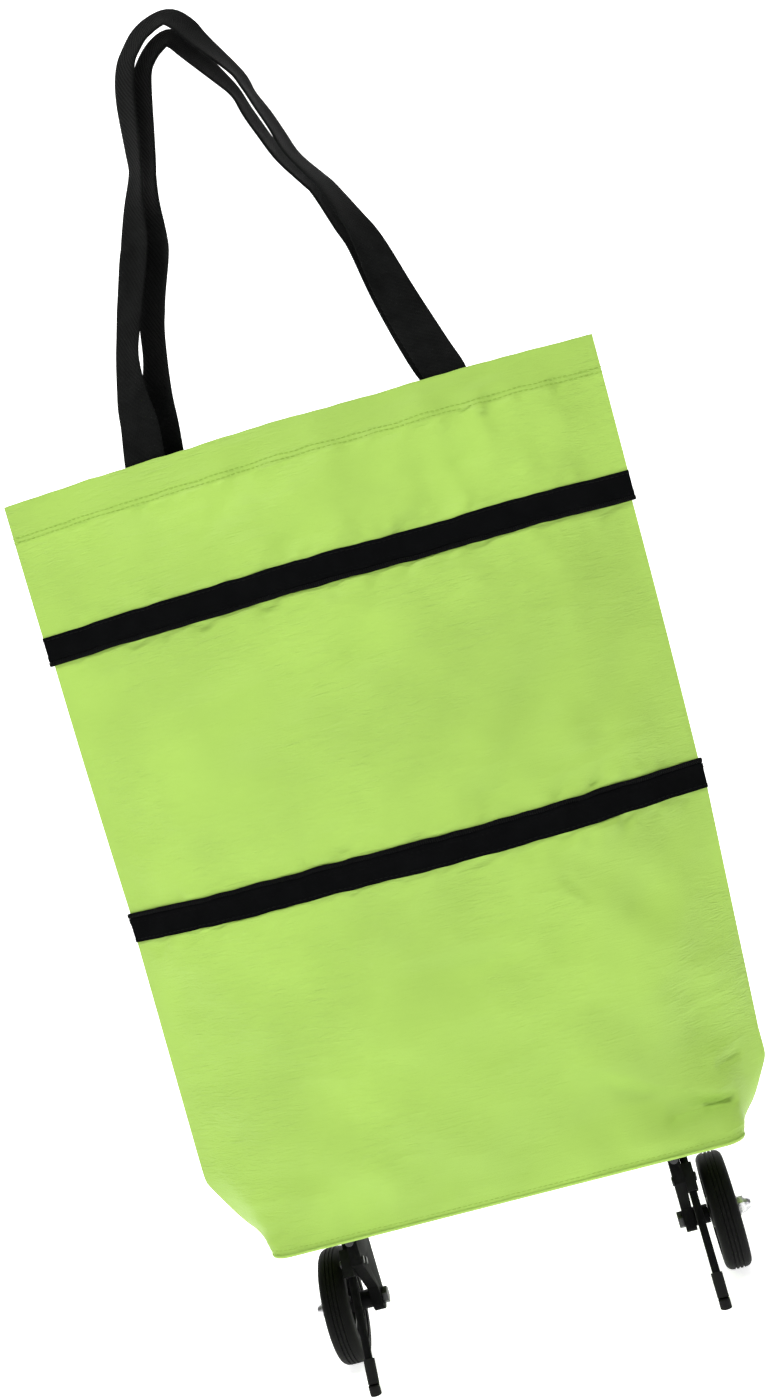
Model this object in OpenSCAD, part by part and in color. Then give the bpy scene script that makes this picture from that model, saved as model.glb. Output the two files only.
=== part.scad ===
// Foldable trolley tote: a soft bag with two zip bands, two webbing straps,
// and two wheels on brackets that fold flat under the base.
// Frame: mm, +X right, -Y front, +Z up, z = 0 at the floor under the wheels.

/* [Bag] */
// Width of the fabric tube laid flat
bag_width = 370; // [300:1:450]
// Height of the lower section, from the base to the lower band
lower_height = 195; // [165:1:240]
// Height of the middle section, between the two rows of teeth
middle_height = 157; // [125:1:190]
// Height of the upper section, from the upper band to the top edge
upper_height = 83; // [60:1:110]
// Depth of the flat base
base_depth = 84; // [70:1:100]
// Depth of the mouth at rest
mouth_depth = 30; // [24:1:36]
// Depth of the bag at its lower band
belly_depth = 90; // [76:1:108]
// Height of the sewn hem
hem_height = 24; // [18:1:30]
// Thickness of the fabric
fabric = 0.8; // [0.6:0.05:1.0]

/* [Zip bands] */
// Width of each zip tape
tape_width = 15; // [12:0.5:20]
// Height of each row of teeth
teeth = 3; // [2.5:0.1:4]

/* [Straps] */
// Width of the webbing
strap_width = 25; // [20:0.5:30]
// Thickness of the webbing
strap_thick = 1.5; // [1.2:0.1:1.8]
// Height of the strap loop above the bag
strap_rise = 256; // [210:1:310]
// Distance from the centre to each strap foot
strap_spread = 93; // [75:1:112]

/* [Running gear] */
// Wheel diameter
wheel_diameter = 70; // [58:1:84]
// Wheel width
wheel_width = 17.5; // [14.5:0.5:21]
// Distance from the centre to each bracket
bracket_spread = 98.75; // [92:0.25:118]
// Bracket thickness
bracket_thick = 6.6; // [5.5:0.1:8]
// Distance of the axle behind the middle of the bag
axle_back = 26; // [20:1:32]
// Distance of the feet in front of the middle of the bag
foot_front = 33; // [26:1:40]
// Leg rod diameter
leg_diameter = 4.8; // [4:0.1:5.8]
// Axle bolt diameter
bolt_diameter = 6; // [5:0.25:7.2]

/* [Hidden] */
$fn = 48;
gap = 0.3;
wr = wheel_diameter / 2;
base_z = wheel_diameter + 23;
// the two rows of teeth face each other across the middle section
lo_z = base_z + lower_height;
lo_tape_top = lo_z + tape_width;
lo_teeth_top = lo_tape_top + teeth;
up_z = lo_teeth_top + middle_height;
up_tape_low = up_z + teeth;
up_tape_top = up_tape_low + tape_width;
top_z = up_tape_top + upper_height;
proud = 1;
bite = 1.3;
base_w = 2 * bag_width * 0.992 / 2 - base_depth;
corner = 12;
blend_z = base_z + 87;
half_belly = belly_depth / 2;
bag_y = -(axle_back + wr - half_belly - proud) / 2;
board = 3;
board_x = base_w / 2 - 8.5;
board_y = base_depth / 2 - 5;

// running gear, all from the bracket's fold axis
bt = bracket_thick / 2;
flange_t = 2.4;
ax_x = bracket_spread;
ax_z = base_z - flange_t - bt - 1.8;
pin_r = 1.5;
axle_z = wr;
axle_y = bag_y + axle_back;
foot_y = bag_y - foot_front;
fl_front = bag_y - 18;
fl_rear = bag_y + 36;
ear = 4;
leg_r = leg_diameter / 2;
leg_x = ax_x + bt + 0.3 + leg_r;
clamp_out = leg_x + leg_r + 1.1;
wheel_in = max(clamp_out + 1, leg_x + leg_r + 1) + 2.2;
wheel_out = wheel_in + wheel_width;
bolt_r = bolt_diameter / 2;
bore_r = bolt_r + gap;
hub_r = bolt_r + 6;
rim_r = wr * 0.74;
leg_top_y = bag_y + 1;
leg_top_z = ax_z - 4;
rivet_r = 1.4;

green = [0.67, 0.85, 0.37];
black = [0.07, 0.07, 0.07];
steel = [0.75, 0.75, 0.77];

// ---- cross-section of the bag -------------------------------------------
// where the outline is sampled, from the middle of a panel to its side seam
SIDE = [0.12, 0.24, 0.36, 0.48, 0.6, 0.68, 0.73, 0.77, 0.81, 0.86, 0.92, 0.985];
S = concat([for (i = [len(SIDE) - 1:-1:0]) -SIDE[i]], [0], SIDE);

function depth_at(z) = lookup(z, [[base_z, half_belly + 1], [lo_z, half_belly],
  [up_z, half_belly * 0.58], [top_z, mouth_depth / 2]]);
function boxed(z) = z >= blend_z ? 0
  : pow(min(1, (blend_z - z) / (blend_z - base_z)), 2.1);
function bow(h) = let (a = 4 * h / bag_width) a * (1 + a * a / 12);

// front panel as a circular arc between the side seams
function arc_at(s, h, off) = let (a = bow(h), r = bag_width / (2 * a),
    ad = a * 180 / PI, c = r * cos(ad),
    b = off > 0 ? ad : acos(c / (r + off)))
  [(r + off) * sin(b * s), -((r + off) * cos(b * s) - c)];
function arc_tip(h, off) = let (a = bow(h), r = bag_width / (2 * a),
    ad = a * 180 / PI, c = r * cos(ad))
  off > 0 ? r * sin(ad) + off : (r + off) * sin(acos(c / (r + off)));

// half of the rounded rectangle of the base
function box_at(s, off) = let (A = base_w / 2 + off, B = base_depth / 2 + off,
    r = corner + off, t = (B - r) + PI * r / 2 + (A - r), d = abs(s) * t,
    g = s < 0 ? -1 : 1)
  d < A - r ? [g * d, -B]
  : d < A - r + PI * r / 2
  ? let (q = (d - A + r) / r * 180 / PI) [g * (A - r + r * sin(q)), -(B - r) - r * cos(q)]
  : [g * A, -(B - r) + d - (A - r) - PI * r / 2];

function skin_at(s, z, off) = let (m = boxed(z))
  (1 - m) * arc_at(s, depth_at(z), off) + m * box_at(s, off);
function tip_at(z, off) = let (m = boxed(z))
  (1 - m) * arc_tip(depth_at(z), off) + m * (base_w / 2 + off);
function ring(z, off) = concat(
  [for (s = S) let (p = skin_at(s, z, off)) [p[0], p[1] + bag_y, z]],
  [[tip_at(z, off), bag_y, z]],
  [for (i = [len(S) - 1:-1:0]) let (p = skin_at(S[i], z, off))
    [p[0], bag_y - p[1], z]],
  [[-tip_at(z, off), bag_y, z]]);

// closed band of fabric between two offsets, through the given levels
module band(levels, o_in, o_out) {
  n = 2 * len(S) + 2;
  k = len(levels);
  pts = concat([for (z = levels) each ring(z, o_out)],
    [for (z = levels) each ring(z, o_in)]);
  function o(l, i) = l * n + (i % n);
  function v(l, i) = (k + l) * n + (i % n);
  polyhedron(pts, concat(
    [for (l = [0:k - 2], i = [0:n - 1]) each
      [[o(l, i), o(l + 1, i), o(l + 1, i + 1)], [o(l, i), o(l + 1, i + 1), o(l, i + 1)]]],
    [for (l = [0:k - 2], i = [0:n - 1]) each
      [[v(l, i), v(l + 1, i + 1), v(l + 1, i)], [v(l, i), v(l, i + 1), v(l + 1, i + 1)]]],
    [for (i = [0:n - 1]) each
      [[o(0, i), v(0, i + 1), v(0, i)], [o(0, i), o(0, i + 1), v(0, i + 1)]]],
    [for (i = [0:n - 1]) each [[o(k - 1, i), v(k - 1, i), v(k - 1, i + 1)],
      [o(k - 1, i), v(k - 1, i + 1), o(k - 1, i + 1)]]]));
}

// flat strip of a panel between two outline positions, for the strap ends
module strip(s0, s1, z0, z1, o_in, o_out, back) {
  m = 4;
  g = back ? -1 : 1;
  function p(s, z, off) = let (q = skin_at(s, z, off)) [q[0], bag_y + g * q[1], z];
  function s_at(i) = s0 + (s1 - s0) * i / m;
  pts = [for (i = [0:m]) each [p(s_at(i), z0, o_out), p(s_at(i), z1, o_out),
    p(s_at(i), z1, o_in), p(s_at(i), z0, o_in)]];
  mirror([0, 0, 0]) polyhedron(pts, back ? [for (f = strip_faces(m)) [f[2], f[1], f[0]]]
    : strip_faces(m));
}
function strip_faces(m) = concat([[0, 1, 2], [0, 2, 3]],
  [for (i = [0:m - 1], j = [0:3]) each let (a = 4 * i + j, b = 4 * i + (j + 1) % 4)
    [[a, a + 4, b + 4], [a, b + 4, b]]],
  [[4 * m, 4 * m + 2, 4 * m + 1], [4 * m, 4 * m + 3, 4 * m + 2]]);

// ---- webbing strap -------------------------------------------------------
// each row: across and up as shares of the spread and the rise, set back from
// the mouth wall, turn of the webbing about its own line
FRONT = [[-1.054, 0.003, 0, 0], [-1.032, 0.086, 0.3, 15], [-1.032, 0.145, 0.6, 32],
  [-0.997, 0.242, 1.4, 57], [-0.939, 0.313, 2.4, 63], [-0.877, 0.379, 3.4, 64],
  [-0.79, 0.465, 4, 58], [-0.748, 0.508, 4, 62], [-0.688, 0.59, 4, 69],
  [-0.616, 0.668, 4, 72], [-0.591, 0.73, 4, 70], [-0.552, 0.84, 4, 66],
  [-0.5, 0.906, 4, 66], [-0.43, 0.941, 4, 66], [-0.323, 0.973, 4, 65],
  [-0.16, 0.988, 4, 64], [-0.06, 0.96, 4, 64], [0.004, 0.922, 4, 66],
  [0.19, 0.82, 4, 70], [0.239, 0.77, 4, 75], [0.294, 0.715, 4, 72],
  [0.345, 0.66, 4, 72], [0.4, 0.598, 4, 70], [0.505, 0.535, 4, 66],
  [0.56, 0.502, 4, 64], [0.66, 0.414, 3.4, 56], [0.715, 0.352, 2.4, 45],
  [0.79, 0.219, 1, 22], [0.906, 0.07, 0.3, 8], [0.965, 0.003, 0, 0]];
REAR = [[-0.946, 0.003, 0, 0], [-0.914, 0.086, 0.3, 15], [-0.887, 0.145, 0.6, 32],
  [-0.823, 0.242, 1.4, 57], [-0.785, 0.313, 2.4, 63], [-0.729, 0.379, 3.4, 64],
  [-0.645, 0.465, 4, 58], [-0.615, 0.508, 4, 62], [-0.577, 0.59, 4, 69],
  [-0.519, 0.668, 4, 72], [-0.487, 0.73, 4, 70], [-0.439, 0.83, 4, 66],
  [-0.4, 0.885, 4, 66], [-0.345, 0.916, 4, 66], [-0.27, 0.94, 4, 65],
  [-0.18, 0.954, 4, 64], [-0.11, 0.935, 4, 64], [-0.06, 0.905, 4, 66],
  [0.105, 0.81, 4, 70], [0.165, 0.765, 4, 75], [0.207, 0.715, 4, 72],
  [0.262, 0.66, 4, 72], [0.336, 0.596, 4, 70], [0.455, 0.53, 4, 66],
  [0.51, 0.497, 4, 64], [0.6, 0.41, 3.4, 56], [0.675, 0.348, 2.4, 45],
  [0.768, 0.217, 1, 22], [0.88, 0.069, 0.3, 8], [0.95, 0.003, 0, 0]];
foot_in = mouth_depth / 2 * 0.735 - 2 * fabric;

module webbing(rows, back) {
  g = back ? 1 : -1;
  n = len(rows);
  c = [for (r = rows) [r[0] * strap_spread, bag_y + g * (foot_in - 1 - r[2]),
    top_z + strap_rise * r[1]]];
  // the line of the strap at each row; its two ends stand straight on the mouth
  function run(i) = i == 0 ? [0, 1] : i == n - 1 ? [0, -1]
    : let (d = [c[i + 1][0] - c[i - 1][0], c[i + 1][2] - c[i - 1][2]]) d / norm(d);
  pts = [for (i = [0:n - 1]) let (t = run(i), u = [-t[1], 0, t[0]], q = rows[i][3],
      w = cos(q) * u + sin(q) * [0, 1, 0], v = -sin(q) * u + cos(q) * [0, 1, 0],
      hw = w * strap_width / 2, hv = v * strap_thick / 2)
    each [c[i] - hw - hv, c[i] + hw - hv, c[i] + hw + hv, c[i] - hw + hv]];
  polyhedron(pts, concat([[0, 1, 2], [0, 2, 3]],
    [for (i = [0:n - 2], j = [0:3]) each let (a = 4 * i + j, b = 4 * i + (j + 1) % 4)
      [[a, a + 4, b + 4], [a, b + 4, b]]],
    [[4 * n - 4, 4 * n - 2, 4 * n - 3], [4 * n - 4, 4 * n - 1, 4 * n - 2]]));
}

// ---- bag -----------------------------------------------------------------
module lower_section() color(green) band([base_z + 1, base_z + 5, base_z + 11,
  base_z + 19, base_z + 29, base_z + 41, base_z + 55, base_z + 70, blend_z,
  (blend_z + lo_z) / 2, lo_z, lo_tape_top], -fabric, 0);
module middle_section() color(green) band([lo_teeth_top + gap,
  (lo_teeth_top + up_z) / 2, up_z - gap], -fabric, 0);
module upper_section() color(green) band([up_tape_low, up_tape_top,
  top_z - hem_height, top_z], -fabric, 0);
module top_hem() color(green)
  band([top_z - hem_height, top_z], -2 * fabric, -fabric);
module base_panel() color(green) translate([0, bag_y, base_z]) difference() {
  plate(base_w, base_depth, corner, 1);
  for (g = [-1, 1]) translate([0, -bag_y, 0]) rivet_spots(g)
    cylinder(h = 20, r = rivet_r, center = true);
}
module base_board() color(black) translate([0, bag_y, base_z + 1]) difference() {
  plate(2 * board_x, 2 * board_y, corner, board);
  for (g = [-1, 1]) translate([0, -bag_y, 0]) rivet_spots(g)
    cylinder(h = 20, r = rivet_r, center = true);
}
module plate(w, d, r, h) {
  translate([-w / 2 + r, -d / 2, 0]) cube([w - 2 * r, d, h]);
  translate([-w / 2, -d / 2 + r, 0]) cube([w, d - 2 * r, h]);
  for (i = [-1, 1], j = [-1, 1])
    translate([i * (w / 2 - r), j * (d / 2 - r), 0]) cylinder(h = h, r = r);
}
module zip_tape_lower() color(black) band([lo_z, lo_tape_top], 0, proud);
module zip_teeth_lower() color(black) band([lo_tape_top, lo_teeth_top], -fabric, bite);
module zip_tape_upper() color(black) band([up_tape_low, up_tape_top], 0, proud);
module zip_teeth_upper() color(black) band([up_z, up_tape_low], -fabric, bite);

// the slider runs on the back of the upper band, along its arc
zip_a = bow(depth_at(up_z + teeth / 2));
zip_r = bag_width / (2 * zip_a);
zip_cy = bag_y - zip_r * cos(zip_a * 180 / PI);
zip_rest = 0.62 * zip_a * 180 / PI;
module on_arc(deg) translate([0, zip_cy, up_z]) rotate([0, 0, -deg])
  translate([0, zip_r, 0]) children();
slider_y = bite + gap;
module zip_stops() color(steel) for (g = [-1, 1]) on_arc(g * (zip_rest + 0.7))
  translate([-1.5, bite + 0.05, 0.2]) cube([3, 1.4, 2.6]);
module zip_slider() color(steel) on_arc(zip_rest) {
  translate([-4, slider_y, -3.2]) cube([8, 1.8, 9]);
  for (g = [-1, 1]) translate([g * 1.7 - 0.6, slider_y + 1.7, -0.2]) cube([1.2, 3.6, 3]);
  translate([-1.7, slider_y + 3.6, 1.3]) rotate([0, 90, 0]) cylinder(h = 3.4, r = 0.5);
}
module zip_pull() color(steel) on_arc(zip_rest) translate([0, slider_y + 3.6, 1.3])
  difference() {
    union() {
      rotate([0, 90, 0]) cylinder(h = 1.6, r = 1.5, center = true);
      translate([-0.8, -0.7, -7]) cube([1.6, 1.4, 7]);
      translate([-3.5, -0.7, -27]) cube([7, 1.4, 20.5]);
    }
    rotate([0, 90, 0]) cylinder(h = 4, r = 0.8, center = true);
    translate([0, -3, -23]) rotate([-90, 0, 0]) cylinder(h = 6, r = 1.8);
  }

// where the straps are sewn to the hem, as shares along the panel
function share(x) = x / (bag_width / 2);
foot_w = strap_width / bag_width;
module strap_ends(rows, back) for (r = [rows[0], rows[len(rows) - 1]])
  strip(share(r[0] * strap_spread) - foot_w, share(r[0] * strap_spread) + foot_w,
    top_z - hem_height - 8, top_z - 0.5, -2 * fabric - 0.12 - strap_thick,
    -2 * fabric - 0.12, back);
module strap_front() color(black) webbing(FRONT, false);
module strap_rear() color(black) webbing(REAR, true);
module strap_ends_front() color(black) strap_ends(FRONT, false);
module strap_ends_rear() color(black) strap_ends(REAR, true);

// ---- running gear, drawn for the right side and mirrored -----------------
module side(g) scale([g, 1, 1]) children();
module rivet_spots(g) for (x = [-5.9, 5.9], y = [fl_front + 7, fl_rear - 7])
  translate([g * (ax_x + x), y, 0]) children();

module flange() difference() {
  union() {
    translate([ax_x - 8.25, fl_front + 6, base_z - flange_t])
      cube([16.5, fl_rear - fl_front - 12, flange_t]);
    for (y = [fl_front, fl_rear - 6], x = [-8.25, 8.25 - 6])
      translate([ax_x + x, y, base_z - flange_t]) cube([6, 6, flange_t]);
    translate([ax_x - 8.25, fl_front, base_z - flange_t]) cube([16.5, 6, flange_t]);
    translate([ax_x - 8.25, fl_rear - 6, base_z - flange_t]) cube([16.5, 6, flange_t]);
    for (y = [fl_front, fl_rear - ear]) translate([ax_x, y, ax_z]) {
      rotate([-90, 0, 0]) cylinder(h = ear, r = bt);
      translate([-bt, 0, 0]) cube([2 * bt, ear, base_z - flange_t - ax_z]);
    }
  }
  translate([ax_x, fl_front - 1, ax_z]) rotate([-90, 0, 0])
    cylinder(h = fl_rear - fl_front + 2, r = pin_r);
  rivet_spots(1) translate([0, 0, base_z - 10]) cylinder(h = 20, r = rivet_r);
}
module flange_rivets() rivet_spots(1) {
  translate([0, 0, base_z - flange_t - 1]) cylinder(h = 1, r = 2.2);
  translate([0, 0, base_z - flange_t]) cylinder(h = flange_t + 1 + board + 0.8, r = rivet_r);
  translate([0, 0, base_z + 1 + board + 0.8]) cylinder(h = 1, r = 2.2);
}
module flange_washers() rivet_spots(1) translate([0, 0, base_z + 1 + board])
  difference() {
    cylinder(h = 0.8, r = 4);
    translate([0, 0, -1]) cylinder(h = 4, r = rivet_r);
  }
module hinge_pin() translate([ax_x, fl_front - 1.2, ax_z]) rotate([-90, 0, 0]) {
  cylinder(h = fl_rear - fl_front + 2.4, r = pin_r);
  cylinder(h = 1.2, r = 2.6);
  translate([0, 0, fl_rear - fl_front + 1.2]) cylinder(h = 1.2, r = 2.6);
}
// arm: one plate with a hinge barrel on top and an axle boss below
br_front = fl_front + ear + gap;
br_rear = fl_rear - ear - gap;
boss_r = 8;
module bracket() difference() {
  union() {
    translate([ax_x, br_front, ax_z]) rotate([-90, 0, 0])
      cylinder(h = br_rear - br_front, r = bt);
    translate([ax_x - bt, 0, 0]) rotate([90, 0, 90]) linear_extrude(2 * bt)
      polygon([[br_front, ax_z], [br_rear, ax_z], [br_rear, ax_z - 16],
        [axle_y + boss_r, axle_z], [axle_y - boss_r, axle_z],
        [axle_y - boss_r - 3, axle_z + 10], [br_front, ax_z - 16]]);
    translate([ax_x - bt, axle_y, axle_z]) rotate([0, 90, 0])
      cylinder(h = 2 * bt, r = boss_r);
  }
  translate([ax_x, br_front - 1, ax_z]) rotate([-90, 0, 0])
    cylinder(h = br_rear - br_front + 2, r = pin_r + gap);
  translate([ax_x - 10, axle_y, axle_z]) rotate([0, 90, 0]) cylinder(h = 20, r = bolt_r);
  clamp_spots() cylinder(h = 40, r = rivet_r, center = true);
}
// the leg leans forward from the bracket to its foot
leg_dy = foot_y - leg_top_y;
leg_dz = -(leg_top_z - leg_r);
leg_len = norm([leg_dy, leg_dz]);
leg_tilt = atan2(-leg_dy, -leg_dz);
module along_leg() translate([leg_x, leg_top_y, leg_top_z]) rotate([-leg_tilt, 0, 0])
  children();
clamp_lo = 6;
clamp_hi = 22;
module clamp_spots() along_leg() for (y = [-leg_r - 2.6, leg_r + 2.6])
  translate([0, y, -(clamp_lo + clamp_hi) / 2]) rotate([0, 90, 0]) children();
module leg() along_leg() translate([0, 0, -leg_len + 7]) cylinder(h = leg_len - 7, r = leg_r);
module leg_clamp() difference() {
  along_leg() translate([ax_x + bt - leg_x, -leg_r - 5, -clamp_hi])
    cube([clamp_out - ax_x - bt, 2 * leg_r + 10, clamp_hi - clamp_lo]);
  along_leg() translate([0, 0, -40]) cylinder(h = 60, r = leg_r);
  clamp_spots() cylinder(h = 40, r = rivet_r, center = true);
}
module clamp_rivets() clamp_spots() {
  translate([0, 0, ax_x - bt - leg_x]) cylinder(h = clamp_out - ax_x + bt, r = rivet_r);
  translate([0, 0, clamp_out - leg_x]) cylinder(h = 1, r = 2.2);
  translate([0, 0, ax_x - bt - leg_x - 1]) cylinder(h = 1, r = 2.2);
}
// rubber foot with a flat to stand on
module foot() {
  along_leg() translate([0, 0, -leg_len + 3.5]) difference() {
    cylinder(h = 14, r = leg_r + 1);
    translate([0, 0, 3.5]) cylinder(h = 12, r = leg_r);
  }
  translate([leg_x, foot_y, 0]) cylinder(h = 5.5, r = leg_r + 1);
}
module on_axle(x) translate([x, axle_y, axle_z]) rotate([0, 90, 0]) children();
module axle_bolt() {
  on_axle(ax_x - bt - 3.4) cylinder(h = 3.4, r = bolt_r * 1.75, $fn = 6);
  on_axle(ax_x - bt) cylinder(h = wheel_out + gap + 0.8 + 4 - ax_x + bt, r = bolt_r);
}
module spacer() on_axle(ax_x + bt) difference() {
  cylinder(h = wheel_in - gap - ax_x - bt, r = bolt_r + 2.6);
  translate([0, 0, -1]) cylinder(h = 40, r = bolt_r);
}
module wheel_core() on_axle(wheel_in) rotate_extrude() polygon([
  [bore_r, 0], [hub_r, 0], [hub_r, wheel_width / 2 - 3.2],
  [rim_r - 3.5, wheel_width / 2 - 3.2], [rim_r - 3.5, 1.4], [rim_r, 1.4],
  [rim_r, wheel_width - 1.4], [rim_r - 3.5, wheel_width - 1.4],
  [rim_r - 3.5, wheel_width / 2 + 3.2], [hub_r, wheel_width / 2 + 3.2],
  [hub_r, wheel_width], [bore_r, wheel_width]]);
module tyre() on_axle(wheel_in) rotate_extrude() difference() {
  translate([rim_r, 0]) union() {
    translate([0, 0.6]) square([wr - rim_r - 4.5, wheel_width - 1.2]);
    translate([wr - rim_r - 4.5, 4.5]) square([4.5, wheel_width - 9]);
    for (y = [4.5, wheel_width - 4.5]) translate([wr - rim_r - 4.5, y])
      intersection() {
        circle(r = 4.5);
        translate([0, -3.9]) square([5, 7.8]);
      }
  }
  translate([wr, wheel_width / 2]) circle(r = 0.9, $fn = 16);
}
module axle_washer() on_axle(wheel_out + gap) difference() {
  cylinder(h = 0.8, r = bolt_r + 3);
  translate([0, 0, -1]) cylinder(h = 4, r = bolt_r);
}
nut_r = bolt_r * 1.8;
module acorn_nut() on_axle(wheel_out + gap + 0.8) difference() {
  union() {
    cylinder(h = 3.4, r = nut_r, $fn = 6);
    translate([0, 0, 3.4]) cylinder(h = 0.8, r = nut_r * 0.84);
    translate([0, 0, 4.2]) rotate_extrude() intersection() {
      circle(r = nut_r * 0.72);
      square([20, nut_r * 0.6]);
    }
  }
  translate([0, 0, -1]) cylinder(h = 5, r = bolt_r);
}

module flange_left() color(black) side(-1) flange();
module flange_rivets_left() color(steel) side(-1) flange_rivets();
module flange_washers_left() color(steel) side(-1) flange_washers();
module hinge_pin_left() color(steel) side(-1) hinge_pin();
module bracket_left() color(black) side(-1) bracket();
module leg_left() color(black) side(-1) leg();
module leg_clamp_left() color(black) side(-1) leg_clamp();
module clamp_rivets_left() color(steel) side(-1) clamp_rivets();
module foot_left() color(black) side(-1) foot();
module axle_bolt_left() color(steel) side(-1) axle_bolt();
module spacer_left() color(black) side(-1) spacer();
module wheel_core_left() color(black) side(-1) wheel_core();
module tyre_left() color(black) side(-1) tyre();
module axle_washer_left() color(steel) side(-1) axle_washer();
module acorn_nut_left() color(steel) side(-1) acorn_nut();
module flange_right() color(black) side(1) flange();
module flange_rivets_right() color(steel) side(1) flange_rivets();
module flange_washers_right() color(steel) side(1) flange_washers();
module hinge_pin_right() color(steel) side(1) hinge_pin();
module bracket_right() color(black) side(1) bracket();
module leg_right() color(black) side(1) leg();
module leg_clamp_right() color(black) side(1) leg_clamp();
module clamp_rivets_right() color(steel) side(1) clamp_rivets();
module foot_right() color(black) side(1) foot();
module axle_bolt_right() color(steel) side(1) axle_bolt();
module spacer_right() color(black) side(1) spacer();
module wheel_core_right() color(black) side(1) wheel_core();
module tyre_right() color(black) side(1) tyre();
module axle_washer_right() color(steel) side(1) axle_washer();
module acorn_nut_right() color(steel) side(1) acorn_nut();

lower_section();
middle_section();
upper_section();
top_hem();
base_panel();
base_board();
zip_tape_lower();
zip_teeth_lower();
zip_tape_upper();
zip_teeth_upper();
zip_stops();
zip_slider();
zip_pull();
strap_front();
strap_rear();
strap_ends_front();
strap_ends_rear();
flange_left();
flange_rivets_left();
flange_washers_left();
hinge_pin_left();
bracket_left();
leg_left();
leg_clamp_left();
clamp_rivets_left();
foot_left();
axle_bolt_left();
spacer_left();
wheel_core_left();
tyre_left();
axle_washer_left();
acorn_nut_left();
flange_right();
flange_rivets_right();
flange_washers_right();
hinge_pin_right();
bracket_right();
leg_right();
leg_clamp_right();
clamp_rivets_right();
foot_right();
axle_bolt_right();
spacer_right();
wheel_core_right();
tyre_right();
axle_washer_right();
acorn_nut_right();
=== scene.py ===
import contextlib
import math

import bmesh
import bpy
import numpy as np
from mathutils import Matrix, Vector


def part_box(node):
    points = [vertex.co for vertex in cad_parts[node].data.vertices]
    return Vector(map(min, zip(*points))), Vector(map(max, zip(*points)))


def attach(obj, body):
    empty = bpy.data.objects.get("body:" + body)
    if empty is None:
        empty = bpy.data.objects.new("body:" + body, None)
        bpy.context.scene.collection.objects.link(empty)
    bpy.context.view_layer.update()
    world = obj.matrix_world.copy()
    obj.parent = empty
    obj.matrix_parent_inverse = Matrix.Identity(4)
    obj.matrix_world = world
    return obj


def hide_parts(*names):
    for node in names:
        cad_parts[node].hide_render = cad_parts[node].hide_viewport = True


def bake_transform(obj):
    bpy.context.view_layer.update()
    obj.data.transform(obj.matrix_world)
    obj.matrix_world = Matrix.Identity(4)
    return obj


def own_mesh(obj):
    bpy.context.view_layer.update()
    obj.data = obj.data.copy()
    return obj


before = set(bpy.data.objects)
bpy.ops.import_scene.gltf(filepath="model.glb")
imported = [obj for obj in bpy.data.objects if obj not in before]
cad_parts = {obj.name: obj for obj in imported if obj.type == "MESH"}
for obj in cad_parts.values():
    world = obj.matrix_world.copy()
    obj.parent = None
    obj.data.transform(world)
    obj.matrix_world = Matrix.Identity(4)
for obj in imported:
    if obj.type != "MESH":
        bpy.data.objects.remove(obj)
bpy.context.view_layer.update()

bl_info = {
    "name": "Folding trolley tote",
    "version": (1, 0, 0),
    "blender": (4, 5, 0),
    "location": "View3D > Sidebar > Tote",
    "description": "Builds the cloth, webbing, zips and running gear of a folding trolley tote",
    "category": "Add Mesh",
}

# ---- places taken from the frame -------------------------------------------
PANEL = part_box("base_panel")
BASE_Z = PANEL[0].z
TOP_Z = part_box("upper_section")[1].z
LOW_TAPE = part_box("zip_tape_lower")
HIGH_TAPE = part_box("zip_tape_upper")
LOW_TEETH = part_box("zip_teeth_lower")
HIGH_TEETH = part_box("zip_teeth_upper")
HEM_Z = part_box("top_hem")[0].z
BAG_Y = (PANEL[0].y + PANEL[1].y) / 2
BASE_W = PANEL[1].x - PANEL[0].x
BASE_D = PANEL[1].y - PANEL[0].y
LOW_Z, HIGH_Z = LOW_TAPE[0].z, HIGH_TEETH[0].z
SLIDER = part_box("zip_slider")
SLIDER_X = (SLIDER[0].x + SLIDER[1].x) / 2
SIDES = (("left", -1), ("right", 1))
MM = 0.001


# ---- properties --------------------------------------------------------------
def length(name, description, default, low, high):
    return bpy.props.FloatProperty(name=name, description=description, default=default,
                                   min=low, max=high, unit="LENGTH")


def colour(name, description, default):
    return bpy.props.FloatVectorProperty(name=name, description=description, default=default,
                                         subtype="COLOR", size=4, min=0, max=1)


class ToteSizes(bpy.types.PropertyGroup):
    tube_width: length("Bag width", "Width of the cloth tube laid flat", 0.370, 0.3, 0.45)
    belly: length("Belly depth", "Depth of the bag at its lower band", 0.090, 0.07, 0.11)
    mouth: length("Mouth depth", "Depth of the open mouth", 0.030, 0.02, 0.04)
    blend_height: length("Corner height",
                         "Height over which the boxed base turns into the flat bag", 0.043, 0.03, 0.12)
    corner: length("Base corner", "Radius of the corners of the base", 0.012, 0.006, 0.02)
    cloth: length("Cloth thickness", "Thickness of the nylon as shown", 0.0006, 0.0003, 0.001)
    wrinkles: bpy.props.FloatProperty(
        name="Wrinkles", description="Strength of the folds in the cloth",
        default=1.45, min=0.0, max=2.0, subtype="FACTOR")
    webbing: length("Webbing width", "Width of the strap webbing", 0.025, 0.02, 0.03)
    webbing_thick: length("Webbing thickness",
                          "Thickness of the strap webbing", 0.0015, 0.001, 0.002)
    stitch: length("Stitch spacing", "Distance from one stitch to the next", 0.0032, 0.002, 0.006)
    tooth: length("Tooth spacing", "Distance from one zip tooth to the next", 0.0013, 0.001, 0.003)


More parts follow.
